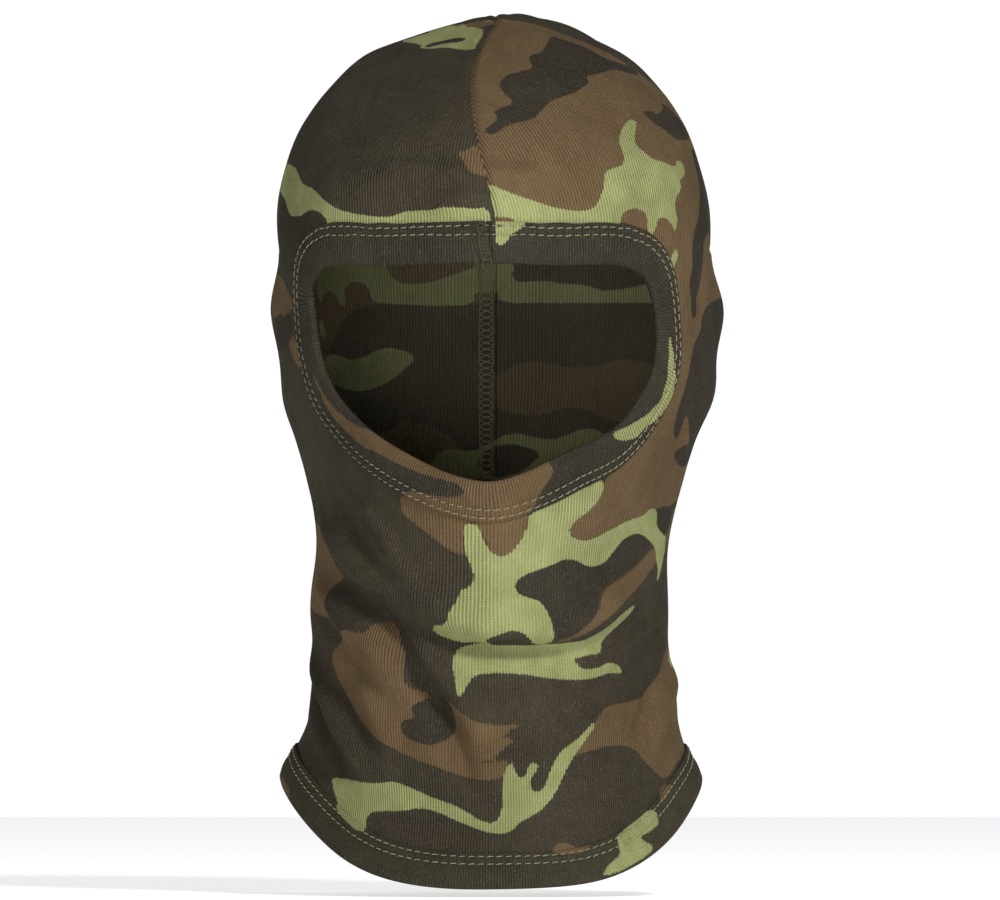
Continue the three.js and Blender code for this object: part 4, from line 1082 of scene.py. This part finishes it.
def folded_band(name, line, width, piece):
    section = band_section(width)
    from_join = line.along - line.length * (line.along > line.length / 2)
    points, angles, ups, gathers = [], [], [], []
    for out, off in section:
        angle, up = line.places(out)
        dent = needle_dips(line, out, width)
        beside_join = from_join - JOIN_LEAN * (0.27 - out / width)
        join = join_profile(beside_join)
        gathers.append(0.4 * (out - width / 2) * np.exp(-(((beside_join + 3.5) / 3.2) ** 2)))
        reach = np.clip(abs(off) / BAND_FOLD, 0, 1) if abs(off) > 0.7 else 0
        lift = off + np.sign(off) * reach * (join - dent)
        points.append(worn_point(angle, up, lift))
        angles.append(angle)
        ups.append(up)
    points = np.stack(points)
    faces = grid_faces(len(section), len(line.along), wrap_rows=True, wrap_columns=True)
    points = points.reshape(-1, 3)
    faces = facing_out(points, faces)
    around = np.concatenate([[0], np.cumsum(np.linalg.norm(np.diff(section, axis=0), axis=1))])
    ribs = np.stack(np.broadcast_arrays(line.along[None, :], around[:, None]), -1)
    ribs[..., 0] += np.stack(gathers)
    ribs = ribs.reshape(-1, 2) * MM
    inks = ink_depths(np.concatenate(angles), np.concatenate(ups), piece)
    made = make_piece(name, points, faces, ribs, inks)
    print(f"{name}: {len(section)} by {len(line.along)} points, {line.length:.0f} mm round")
    return made


face_band = folded_band("face_band_cloth", opening, FACE_BAND, "band")
hem_band = folded_band("hem_band_cloth", hem, HEM_BAND, "hem")

# %% [markdown]
# ## One small language for node trees
#
# Materials and the sewing below are node trees. Writing a tree link by link hides what it means, so we
# wrap a socket in a class that does arithmetic: `ribs * 0.5 + noise` makes the Math nodes by itself. Any
# other node comes through one helper that takes its settings and its inputs by name.

# %% Node helpers
class Number:
    """A number that flows through a node tree and can be added, multiplied and so on."""

    def __init__(self, recipe, socket):
        self.recipe, self.socket = recipe, socket

    def _math(self, operation, *values):
        kind = "ShaderNodeMath"
        node = self.recipe.node(kind, dict(enumerate(values)), operation=operation)
        return Number(self.recipe, node.outputs[0])

    def __add__(self, other):
        return self._math("ADD", self, other)

    def __radd__(self, other):
        return self._math("ADD", other, self)

    def __sub__(self, other):
        return self._math("SUBTRACT", self, other)

    def __rsub__(self, other):
        return self._math("SUBTRACT", other, self)

    def __mul__(self, other):
        return self._math("MULTIPLY", self, other)

    def __rmul__(self, other):
        return self._math("MULTIPLY", other, self)

    def __truediv__(self, other):
        return self._math("DIVIDE", self, other)

    def __rtruediv__(self, other):
        return self._math("DIVIDE", other, self)

    def __neg__(self):
        return self._math("MULTIPLY", self, -1.0)

    def __abs__(self):
        return self._math("ABSOLUTE", self)

    def cosine(self):
        return self._math("COSINE", self)

    def fraction(self):
        return self._math("FRACT", self)

    def least(self, other):
        return self._math("MINIMUM", self, other)

    def most(self, other):
        return self._math("MAXIMUM", self, other)

    def step(self, low, high):
        """0 below low, 1 above high, and a smooth rise between them."""
        node = self.recipe.node(
            "ShaderNodeMapRange",
            {"Value": self, "From Min": low, "From Max": high},
            interpolation_type="SMOOTHSTEP",
        )
        return Number(self.recipe, node.outputs["Result"])


class Recipe:
    """A node tree as it is being written."""

    def __init__(self, tree):
        self.tree = tree

    def node(self, kind, inputs=None, **settings):
        made = self.tree.nodes.new(kind)
        for name, value in settings.items():
            setattr(made, name, value)
        for name, value in (inputs or {}).items():
            self.plug(made.inputs[name], value)
        return made

    def plug(self, socket, value):
        if isinstance(value, Number):
            value = value.socket
        if isinstance(value, bpy.types.NodeSocket):
            self.tree.links.new(value, socket)
        else:
            socket.default_value = value

    def number(self, kind, output=0, inputs=None, **settings):
        return Number(self, self.node(kind, inputs, **settings).outputs[output])

    def mix(self, first, second, share):
        """A colour between two colours."""
        node = self.node("ShaderNodeMix", {0: share, 6: first, 7: second}, data_type="RGBA")
        return node.outputs[2]


def dye(code):
    """A colour from its web code, as the linear values that a material wants."""
    parts = [int(code[k : k + 2], 16) / 255 for k in (1, 3, 5)]
    return (*[p / 12.92 if p <= 0.04045 else ((p + 0.055) / 1.055) ** 2.4 for p in parts], 1.0)


# %% [markdown]
# ## The knit
#
# The cloth is a fine cotton rib. Each rib is a column of small loops: we build its height from a cosine
# across the ribs and a second one up them, shifted on the two halves of a rib so that the loops lean as
# real ones do. The same height carries the bump and nudges the edge of the print, which on real rib
# breaks up from loop to loop, and the grooves between the ribs and the loops get painted shade in the
# colour. Over that comes a heather of undyed fibre, and a slow change of tone, because a printed cotton
# never takes ink evenly.

# %% The knit material
RIB_PITCH = 1.06 * MM
LOOP_PITCH = 0.95 * MM
FULL_TURN = 2 * math.pi
DYES = {  # each ink in a darker and a lighter tone, which the knit mixes by slow random noise
    "field": ("#39332a", "#464033"),
    "brown": ("#614f37", "#705c42"),
    "green": ("#898d5c", "#a3a771"),
    "black": ("#322d25", "#3e3930"),
}
BARE_FIBRE = "#a39b84"


def knit(name, field=DYES["field"], bare=0.0, rib_depth=1.0):
    """Printed rib knit. field is the tone under the print, bare how far the ink fails to come through."""
    material = bpy.data.materials.new(name)
    material.use_nodes = True
    material.node_tree.nodes.clear()
    recipe = Recipe(material.node_tree)
    flat = recipe.node("ShaderNodeUVMap", uv_map="knit").outputs[0]
    parts = recipe.node("ShaderNodeSeparateXYZ", {0: flat})
    place = recipe.node("ShaderNodeTexCoord").outputs["Object"]

    def noise(scale, detail=2.0, where=place):
        inputs = {"Vector": where, "Scale": scale, "Detail": detail}
        return recipe.number("ShaderNodeTexNoise", "Fac", inputs)

    wander = noise(90.0) - 0.5
    across = Number(recipe, parts.outputs["X"]) / RIB_PITCH + wander * 0.5
    along = Number(recipe, parts.outputs["Y"]) / LOOP_PITCH
    rib = (across * FULL_TURN).cosine() * 0.5 + 0.5
    lean = abs(across.fraction() - 0.5)
    loop = ((along + lean * 0.9) * FULL_TURN).cosine() * 0.5 + 0.5
    fibre = noise(2600.0, 3.0)
    height = rib * (loop * 0.35 + 0.65) + fibre * 0.7

    ragged = (noise(800.0, 3.0) - 0.5) * 2.2 + (rib - 0.5) * 0.8
    slow = noise(24.0, 3.0).step(0.35, 0.65)
    patchy = noise(150.0, 3.0).step(0.3, 0.75)
    tone = slow * 0.6 + patchy * 0.4
    colour = recipe.mix(dye(field[0]), dye(field[1]), tone)
    for ink in INKS:
        depth = recipe.number("ShaderNodeAttribute", "Fac", attribute_name=ink)
        cover = (depth + ragged * 0.45).step(-0.16, 0.16)
        colour = recipe.mix(colour, recipe.mix(dye(DYES[ink][0]), dye(DYES[ink][1]), tone), cover)
    groove = (1.0 - rib) * (1.0 - rib)
    stretch = noise(30.0, 2.0).step(0.4, 0.62)
    specks = noise(1500.0, 1.0).step(0.62, 0.74) * 0.20
    heather = (fibre - 0.5).most(0.0) * 0.5 + specks * rib + bare
    colour = recipe.mix(colour, dye(BARE_FIBRE), heather.least(1.0))
    # painted shade: the grooves between the ribs, and more weakly the gaps between the loops, are darkened
    # in the colour by an amount that varies over the cloth; the fibre noise adds random tone on top
    groove_shade_depth = (stretch * 0.22 + 0.24) * rib_depth
    shade = (1.0 - groove * groove_shade_depth - (1.0 - loop) * 0.07) * (fibre * 0.9 + 0.58)
    shade_and_fibre_tint = recipe.node("ShaderNodeCombineColor", {0: shade, 1: shade, 2: shade}).outputs[0]
    colour = recipe.node(
        "ShaderNodeMix", {0: 1.0, 6: colour, 7: shade_and_fibre_tint}, data_type="RGBA", blend_type="MULTIPLY"
    ).outputs[2]

    relief = {"Strength": 0.85, "Distance": 0.5 * MM * rib_depth, "Height": height}
    bump = recipe.node("ShaderNodeBump", relief)
    surface = recipe.node(
        "ShaderNodeBsdfPrincipled",
        {"Base Color": colour, "Roughness": 0.95, "Specular IOR Level": 0.06, "Normal": bump.outputs[0]},
    )
    recipe.node("ShaderNodeOutputMaterial", {"Surface": surface.outputs[0]})
    return material


camo_cloth = knit("printed_rib_right_side")
camo_back = knit("printed_rib_wrong_side", bare=0.22)
band_cloth = knit("band_rib", field=("#34312a", "#403c32"), rib_depth=1.1)
hem_cloth = knit("hem_rib", field=("#3a362b", "#464133"), rib_depth=1.1)

body.data.materials.append(camo_cloth)
body.data.materials.append(camo_back)
side_of_cloth = np.ones(len(body.data.polygons), np.int32)
side_of_cloth[:right_count] = 0
body.data.polygons.foreach_set("material_index", side_of_cloth)
face_band.data.materials.append(band_cloth)
hem_band.data.materials.append(hem_cloth)
print("materials:", [m.name for m in bpy.data.materials])

# %% [markdown]
# ## Thread
#
# The thread is thick spun cotton-covered polyester in khaki. Close to, it is a twist of fine strands,
# so its bump is a slanted stripe, and its colour carries a painted highlight on the crowns of the twist
# and painted shade between them.

# %% The thread material
def spun_thread(name, dark, light):
    material = bpy.data.materials.new(name)
    material.use_nodes = True
    material.node_tree.nodes.clear()
    recipe = Recipe(material.node_tree)
    place = recipe.node("ShaderNodeTexCoord").outputs["Object"]
    parts = recipe.node("ShaderNodeSeparateXYZ", {0: place})
    x, y, z = (Number(recipe, parts.outputs[k]) for k in range(3))
    twist = (((x + y * 0.6 + z) / (0.42 * MM)) * FULL_TURN).cosine() * 0.5 + 0.5
    fuzz = recipe.number("ShaderNodeTexNoise", "Fac", {"Vector": place, "Scale": 3200.0, "Detail": 2.0})
    # painted highlight and shade: the twist stripe makes the colour lighter on the crowns of the strands
    # and darker between them; the fuzz noise adds random tone
    tone = twist * 0.6 + fuzz * 0.4
    colour = recipe.mix(dye(dark), dye(light), tone)
    bump = recipe.node("ShaderNodeBump", {"Strength": 0.5, "Distance": 0.12 * MM, "Height": tone})
    surface = recipe.node(
        "ShaderNodeBsdfPrincipled",
        {"Base Color": colour, "Roughness": 0.7, "Specular IOR Level": 0.3, "Normal": bump.outputs[0]},
    )
    recipe.node("ShaderNodeOutputMaterial", {"Surface": surface.outputs[0]})
    return material


thread = spun_thread("khaki_thread", "#6e694c", "#a59f82")
dark_thread = spun_thread("olive_thread", "#2d2a1d", "#514c34")

# %% [markdown]
# ## Sewing with Geometry Nodes
#
# A row of stitches repeats one small shape hundreds of times. We lay a row of points where the needle
# went, each carrying the direction of the row and the direction out of the cloth, and a node tree
# sets the stitch on every point, turned a little by chance as a real machine's stitches are. The tree
# has named inputs, so the same one lays the stitches on the outside and the lacing on the inside.

# %% The sewing tree
def sewing_tree():
    tree = bpy.data.node_groups.new("sewn_row", "GeometryNodeTree")
    face = tree.interface
    face.new_socket("Geometry", in_out="INPUT", socket_type="NodeSocketGeometry")
    face.new_socket("Thread shape", in_out="INPUT", socket_type="NodeSocketObject")
    face.new_socket("Wander", in_out="INPUT", socket_type="NodeSocketFloat")
    face.new_socket("Seed", in_out="INPUT", socket_type="NodeSocketInt")
    face.new_socket("Material", in_out="INPUT", socket_type="NodeSocketMaterial")
    face.new_socket("Geometry", in_out="OUTPUT", socket_type="NodeSocketGeometry")
    recipe = Recipe(tree)
    given = recipe.node("NodeGroupInput").outputs
    named = {"data_type": "FLOAT_VECTOR"}
    outward = recipe.node("GeometryNodeInputNamedAttribute", {"Name": "outward"}, **named).outputs[0]
    ahead = recipe.node("GeometryNodeInputNamedAttribute", {"Name": "ahead"}, **named).outputs[0]
    facing = recipe.node(
        "FunctionNodeAxesToRotation", {0: outward, 1: ahead}, primary_axis="Z", secondary_axis="X"
    ).outputs[0]
    wander = Number(recipe, given["Wander"])
    low, high = -wander, wander
    chance = recipe.node("FunctionNodeRandomValue", data_type="FLOAT")
    recipe.plug(chance.inputs[2], low)
    recipe.plug(chance.inputs[3], high)
    recipe.plug(chance.inputs["Seed"], given["Seed"])
    swing = recipe.node(
        "FunctionNodeAxisAngleToRotation", {"Axis": (0, 0, 1), "Angle": chance.outputs[1]}
    ).outputs[0]
    turned = recipe.node(
        "FunctionNodeRotateRotation", {0: facing, 1: swing}, rotation_space="LOCAL"
    ).outputs[0]
    size = recipe.node("FunctionNodeRandomValue", data_type="FLOAT")
    recipe.plug(size.inputs[2], 0.92)
    recipe.plug(size.inputs[3], 1.08)
    recipe.plug(size.inputs["Seed"], given["Seed"])
    shape = recipe.node("GeometryNodeObjectInfo", {"Object": given["Thread shape"]})
    laid = recipe.node(
        "GeometryNodeInstanceOnPoints",
        {
            "Points": given["Geometry"],
            "Instance": shape.outputs["Geometry"],
            "Rotation": turned,
            "Scale": size.outputs[1],
        },
    )
    real = recipe.node("GeometryNodeRealizeInstances", {0: laid.outputs[0]})
    painted = recipe.node("GeometryNodeSetMaterial", {0: real.outputs[0], "Material": given["Material"]})
    recipe.node("NodeGroupOutput", {0: painted.outputs[0]})
    return tree


SEWING = sewing_tree()


def tube(path, radius, sides=7):
    """Points and faces of a round thread along a path, closed at both ends. radius may vary along it."""
    path = np.asarray(path, float)
    radius = np.broadcast_to(radius, len(path))
    ahead = unit(np.gradient(path, axis=0))
    side = np.cross(ahead[0], [0.3, 0.5, 0.8])
    turns = np.linspace(0, FULL_TURN, sides, endpoint=False)
    rings = []
    for point, way, thick in zip(path, ahead, radius):
        side = unit(side - way * (side @ way))
        up = np.cross(way, side)
        rings.append(point + thick * (np.cos(turns)[:, None] * side + np.sin(turns)[:, None] * up))
    faces = grid_faces(len(path), sides, wrap_columns=True)[:, ::-1].tolist()
    last = (len(path) - 1) * sides
    faces.append(list(range(sides)))
    faces.append([last + k for k in range(sides)][::-1])
    return np.concatenate(rings), faces


def joined(shapes):
    """Several shapes' points and faces as one."""
    points, faces, before = [], [], 0
    for some, these in shapes:
        points.append(some)
        faces += [[k + before for k in face] for face in these]
        before += len(some)
    return np.concatenate(points), faces


def thread_shape(name, points, faces):
    """A small shape that the sewing tree repeats, in metres about its own middle."""
    return make_piece(name, points + [0, 0, FALL], faces)


def sew(name, line, out, off, pitch, shape, wander=0.05, seed=1, spun=None):
    """Repeats a thread shape along a line, out to its side and off the cloth."""
    angle, up = line.places(out)
    if line.closed:
        angle, up = np.append(angle, angle[:1]), np.append(up, up[:1])
    angle = np.unwrap(angle)
    path = cloth_point(angle, up)
    along = np.concatenate([[0], np.cumsum(np.linalg.norm(np.diff(path, axis=0), axis=1))])
    count = round(along[-1] / pitch)
    stops = (np.arange(count) + 0.5) * along[-1] / count
    angles, ups = np.interp(stops, along, angle), np.interp(stops, along, up)
    before = cloth_point(np.interp(stops - 1, along, angle), np.interp(stops - 1, along, up))
    after = cloth_point(np.interp(stops + 1, along, angle), np.interp(stops + 1, along, up))
    points = worn_point(angles, ups, off)
    row = make_piece(name, points, [])
    for label, values in (("ahead", unit(after - before)), ("outward", cloth_normal(angles, ups))):
        if off < 0 and label == "outward":
            values = -values
        attribute = row.data.attributes.new(label, "FLOAT_VECTOR", "POINT")
        attribute.data.foreach_set("vector", values.astype(np.float32).ravel())
    modifier = row.modifiers.new("sewing", "NODES")
    modifier.node_group = SEWING
    chosen = {"Thread shape": shape, "Wander": wander, "Seed": seed, "Material": spun or thread}
    for item in SEWING.interface.items_tree:
        if item.name in chosen and item.in_out == "INPUT":
            modifier[item.identifier] = chosen[item.name]
    bpy.context.view_layer.update()
    ready = row.evaluated_get(bpy.context.evaluated_depsgraph_get())
    mesh = bpy.data.meshes.new_from_object(ready)
    row.modifiers.clear()
    row.data = mesh
    mesh.name = name
    mesh.shade_smooth()
    print(f"{name}: {count} repeats, {len(mesh.polygons)} faces")
    return row


# %% [markdown]
# ## The shapes of thread
#
# On the outside a stitch is a short arch that comes up out of one hole and goes down the next. On the
# inside the looper thread crosses from row to row as a lacing, and over the cut edges of a seam the
# overlock thread makes the same crossing in wider loops.

# %% Stitch and lacing shapes
THREAD = 0.19  # half the needle thread's thickness
LACING_THREAD = 0.2  # and half the looper thread's


def stitch_shape():
    t = np.linspace(-1, 1, 9)
    path = np.stack([t * 1.12, t * 0.13, 0.34 * (1 - t ** 4) - 0.22], -1)
    return tube(path, THREAD * (1 - 0.35 * t ** 4), 8)


def lacing_shape(pitch, width):
    """Two threads that cross from side to side, and one that runs along each side."""
    t = np.linspace(0, 1, 9)
    arch = 0.22 * np.sin(math.pi * t)
    cross = np.cos(math.pi * t) * width / 2
    edge = width / 2 + 0.25 * np.sin(math.pi * t)
    ways = [(cross, 0.0), (-cross, 0.24), (edge, 0.1), (-edge, 0.1)]
    paths = [np.stack([(t - 0.5) * pitch, way, arch + lift], -1) for way, lift in ways]
    return joined([tube(path, LACING_THREAD, 5) for path in paths])


OVERLOCK_PITCH = 2.4
stitch = thread_shape("stitch_shape", *stitch_shape())
lacing = thread_shape("lacing_shape", *lacing_shape(STITCH_PITCH, ROW_SPACING))
small_lacing = thread_shape("small_lacing_shape", *lacing_shape(1.6, 2.8))
overlock = thread_shape("overlock_shape", *lacing_shape(OVERLOCK_PITCH, SEAM_ALLOWANCE - 1.4))

# %% Rows of stitches on the bands
sewn = {}
lip_threads = []
for band, line, width, seed in (("face_band", opening, FACE_BAND, 1), ("hem_band", hem, HEM_BAND, 5)):
    outer, inner = width - OUTER_ROW, width - OUTER_ROW - ROW_SPACING
    outside = float(band_top(np.float64(outer), width)) - 0.12
    within = float(band_top(np.float64(inner), width)) - 0.12
    sewn[f"{band}_needle_thread_outer"] = sew(
        f"{band}_stitches_outer", line, outer, outside, STITCH_PITCH, stitch, seed=seed
    )
    sewn[f"{band}_needle_thread_inner"] = sew(
        f"{band}_stitches_inner", line, inner, within, STITCH_PITCH, stitch, seed=seed + 1
    )
    sewn[f"{band}_looper_thread"] = sew(
        f"{band}_lacing", line, (outer + inner) / 2, -within - 0.1, STITCH_PITCH, lacing, 0.02, seed + 2
    )
    start = np.full(12, 0)
    across = np.linspace(3.0, inner - 1.2, 12)
    angle, up = walk(line.angle[start], line.up[start], line.beside[start], across)
    join_line = Line(angle, up, closed=False)
    sewn[f"{band}_join_overlock"] = sew(
        f"{band}_join_lacing", join_line, 0.0, -2.3, 2.0, lacing, 0.03, seed + 3
    )
    across = np.linspace(0.6, width - 0.4, 16)
    beside = JOIN_LEAN * (0.27 - across / width) - 1.7
    ahead = line.ahead[start[:1]]
    angle, up = walk(line.angle[:1].repeat(16), line.up[:1].repeat(16), ahead.repeat(16, 0), beside)
    angle, up = walk(angle, up, line.beside[:1].repeat(16, 0), across)
    lip_line = Line(angle, up, closed=False)
    lip_threads.append(sew(
        f"{band}_join_threads", lip_line, 0.0, 2.5, 1.3, small_lacing, 0.7, seed + 4, dark_thread
    ))

# %% [markdown]
# ## The turned edges inside
#
# Inside, each seam shows its two cut edges, laced together and pressed to one side. They are made as a
# strip of two layers that leaves the cloth at the seam, with the lacing on top.

# %% Turned edges and their lacing
TURNED = np.array([
    (0.1, -0.45), (0.9, -0.5), (1.3, -0.9), (3.5, -0.8), (5.8, -0.85), (6.0, -1.15), (5.75, -1.45),
    (6.05, -1.75), (5.8, -2.1), (3.5, -2.2), (1.2, -2.05), (0.1, -1.6), (-0.3, -1.0),
])


def turned_edges(name, line):
    points = np.stack([worn_point(*line.places(out), off) for out, off in TURNED])
    rings, steps = len(TURNED), len(line.along)
    sides = grid_faces(rings, steps, wrap_rows=True)
    flat = points.reshape(-1, 3)
    faces = facing_out(flat, sides)
    turned_over = not np.array_equal(faces, sides)
    first = [k * steps for k in range(rings)]
    last = [k * steps + steps - 1 for k in range(rings)]
    ends = [first, last[::-1]] if turned_over else [first[::-1], last]
    along = np.broadcast_to(line.along[None, :], (rings, steps))
    out = np.broadcast_to(TURNED[:, :1], (rings, steps))
    ribs = np.stack([out, along], -1).reshape(-1, 2) * MM
    places = [line.places(out) for out, _off in TURNED]
    inks = ink_depths(
        np.concatenate([p[0] for p in places]), np.concatenate([p[1] for p in places]), "body"
    )
    strip = make_piece(name, flat, faces.tolist() + ends, ribs, inks)
    strip.data.materials.append(camo_back)
    return strip


strips = []
for k, (name, line) in enumerate(seams.items()):
    strips.append(turned_edges(f"{name}_turned_edges", line))
    middle = (SEAM_ALLOWANCE + 1.0) / 2
    sewn[f"{name}_seam_overlock"] = sew(
        f"{name}_seam_lacing", line, middle, -2.4, OVERLOCK_PITCH, overlock, 0.04, 20 + k
    )

# %% [markdown]
# ## The tuft at the join
#
# Where the band's ends were joined, the turned edges stick out past the fold as a small tuft: the folded
# cloth, wrapped by the last loops of the overlock thread and by loose ends of the chain. It is made of
# short threads that fan out from the fold, each bent by its own amount.

# %% The tuft
fold_point = worn_point(opening.angle[:1], opening.up[:1], 0.0)[0]
chance = np.random.default_rng(12)
TUFT_THREADS = 64


def tuft_shapes():
    shapes = []
    for _ in range(TUFT_THREADS):
        start = chance.uniform([-5.4, -1.6, 0.8], [0.8, 1.2, 2.4])
        drop = chance.uniform(2.2, 3.8)
        slant, bend = chance.uniform(-0.6, 1.1), chance.uniform(-0.9, 0.9)
        t = np.linspace(0, 1, 7)
        x = start[0] + slant * t + bend * t ** 2
        y = start[1] + 0.5 * np.sin(math.pi * t) * chance.uniform(-1, 1)
        z = start[2] - (drop + start[2]) * t * (1 - 0.13 * abs(start[0] + 2.1))
        shapes.append(tube(np.stack([x, y, z], -1), 0.26 * (1 - 0.3 * t), 5))
    return shapes


tuft_points, tuft_faces = joined(tuft_shapes())
tuft_points = tuft_points + fold_point + [-0.3, -0.2, 0.3]
tail = make_piece("seam_thread_tail_tuft", tuft_points, tuft_faces)
tail.data.materials.append(dark_thread)
sewn["seam_thread_tail"] = tail
print(f"tuft: {TUFT_THREADS} threads, {np.ptp(tuft_points[:, 2]):.1f} mm long")

for shape in (stitch, lacing, small_lacing, overlock):
    bpy.data.objects.remove(shape)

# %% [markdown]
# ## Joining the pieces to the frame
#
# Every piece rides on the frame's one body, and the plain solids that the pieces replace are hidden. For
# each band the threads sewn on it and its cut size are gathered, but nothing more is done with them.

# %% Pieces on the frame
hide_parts("body_panel")
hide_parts("face_band")
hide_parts("hem_band")
for node, piece in sewn.items():
    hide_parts(node)
for piece in (body, face_band, hem_band, *strips, *lip_threads, *sewn.values()):
    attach(piece, "root")

for band, name, flat in ((face_band, "face_band", (0.43, 0.033)), (hem_band, "hem_band", (0.50, 0.030))):
    going = [p for n, p in sewn.items() if n.startswith(name)]
    going += [p for p in lip_threads if p.name.startswith(name)]
print("pieces:", len(sewn) + len(strips) + 3)

# %% [markdown]
# ## Floor, light and camera
#
# A plain white studio: a key light from above on the right, which brings out the folds, a weaker fill
# from low in front, a dim world for the shadows and a bright one behind the mask. The camera stands far
# off with a long lens, level with the face, so that the mask is seen almost without perspective.

# %% Studio
def soft_light(name, place, aim, size, watts):
    data = bpy.data.lights.new(name, "AREA")
    data.shape = "DISK"
    data.size = size
    data.energy = watts
    lamp = bpy.data.objects.new(name, data)
    lamp.location = place
    lamp.rotation_euler = (Vector(aim) - Vector(place)).to_track_quat("-Z", "Y").to_euler()
    scene.collection.objects.link(lamp)
    return lamp


middle = Vector((0, 0, -0.16))
soft_light("front_light", (-0.3, -2.1, -0.4), middle, 0.7, 23)
soft_light("key_light", (0.65, -1.7, 1.05), middle, 0.35, 37)

# The room is white behind the mask and a softer grey all round, as in front of a studio's white wall.
WALL_LIGHT = 0.84
ROOM_LIGHT = 0.18
world = bpy.data.worlds.new("pale_room")
scene.world = world
world.use_nodes = True
room = Recipe(world.node_tree)
direction = room.node("ShaderNodeTexCoord").outputs["Generated"]
behind = Number(room, room.node("ShaderNodeSeparateXYZ", {0: direction}).outputs["Y"])
brightness = behind.step(0.6, 0.95) * WALL_LIGHT + ROOM_LIGHT
background = world.node_tree.nodes["Background"]
background.inputs["Color"].default_value = (1, 1, 1, 1)
room.plug(background.inputs["Strength"], brightness)

floor_mesh = bpy.data.meshes.new("floor")
FLOOR_REACH = 2.5
FLOOR_BELOW = 0.003  # metres from the hem down to the floor
corner_signs = ((-1, -1), (1, -1), (1, 1), (-1, 1))
floor_level = frame_box[0].z - FLOOR_BELOW
floor_corners = [(a * FLOOR_REACH, b * FLOOR_REACH, floor_level) for a, b in corner_signs]
floor_mesh.from_pydata(floor_corners, [], [(0, 1, 2, 3)])
floor = bpy.data.objects.new("floor", floor_mesh)
scene.collection.objects.link(floor)
floor_material = bpy.data.materials.new("pale_floor")
floor_material.use_nodes = True
floor_surface = floor_material.node_tree.nodes["Principled BSDF"].inputs
floor_surface["Base Color"].default_value = (0.92, 0.92, 0.92, 1)
floor_surface["Roughness"].default_value = 0.9
floor_surface["Emission Color"].default_value = (1, 1, 1, 1)
floor_surface["Emission Strength"].default_value = 0.6
floor.data.materials.append(floor_material)

# %% Camera
FAR = 14.0  # metres from the mask to the camera
SEEN_WIDTH = 0.370  # metres across the picture at the mask
LOOKING_DOWN = math.radians(0.1)
SENSOR = 36.0  # millimetres
aim = Vector((1.7, 0, -160.7)) * MM
camera_data = bpy.data.cameras.new("camera")
camera_data.sensor_width = SENSOR
camera_data.lens = SENSOR * FAR / SEEN_WIDTH
camera = bpy.data.objects.new("camera", camera_data)
scene.collection.objects.link(camera)
back = Vector((0, -math.cos(LOOKING_DOWN), math.sin(LOOKING_DOWN)))
camera.location = aim + back * FAR
camera.rotation_euler = (-back).to_track_quat("-Z", "Y").to_euler()
camera_data.clip_end = 50
scene.camera = camera
scene.view_settings.view_transform = "Standard"
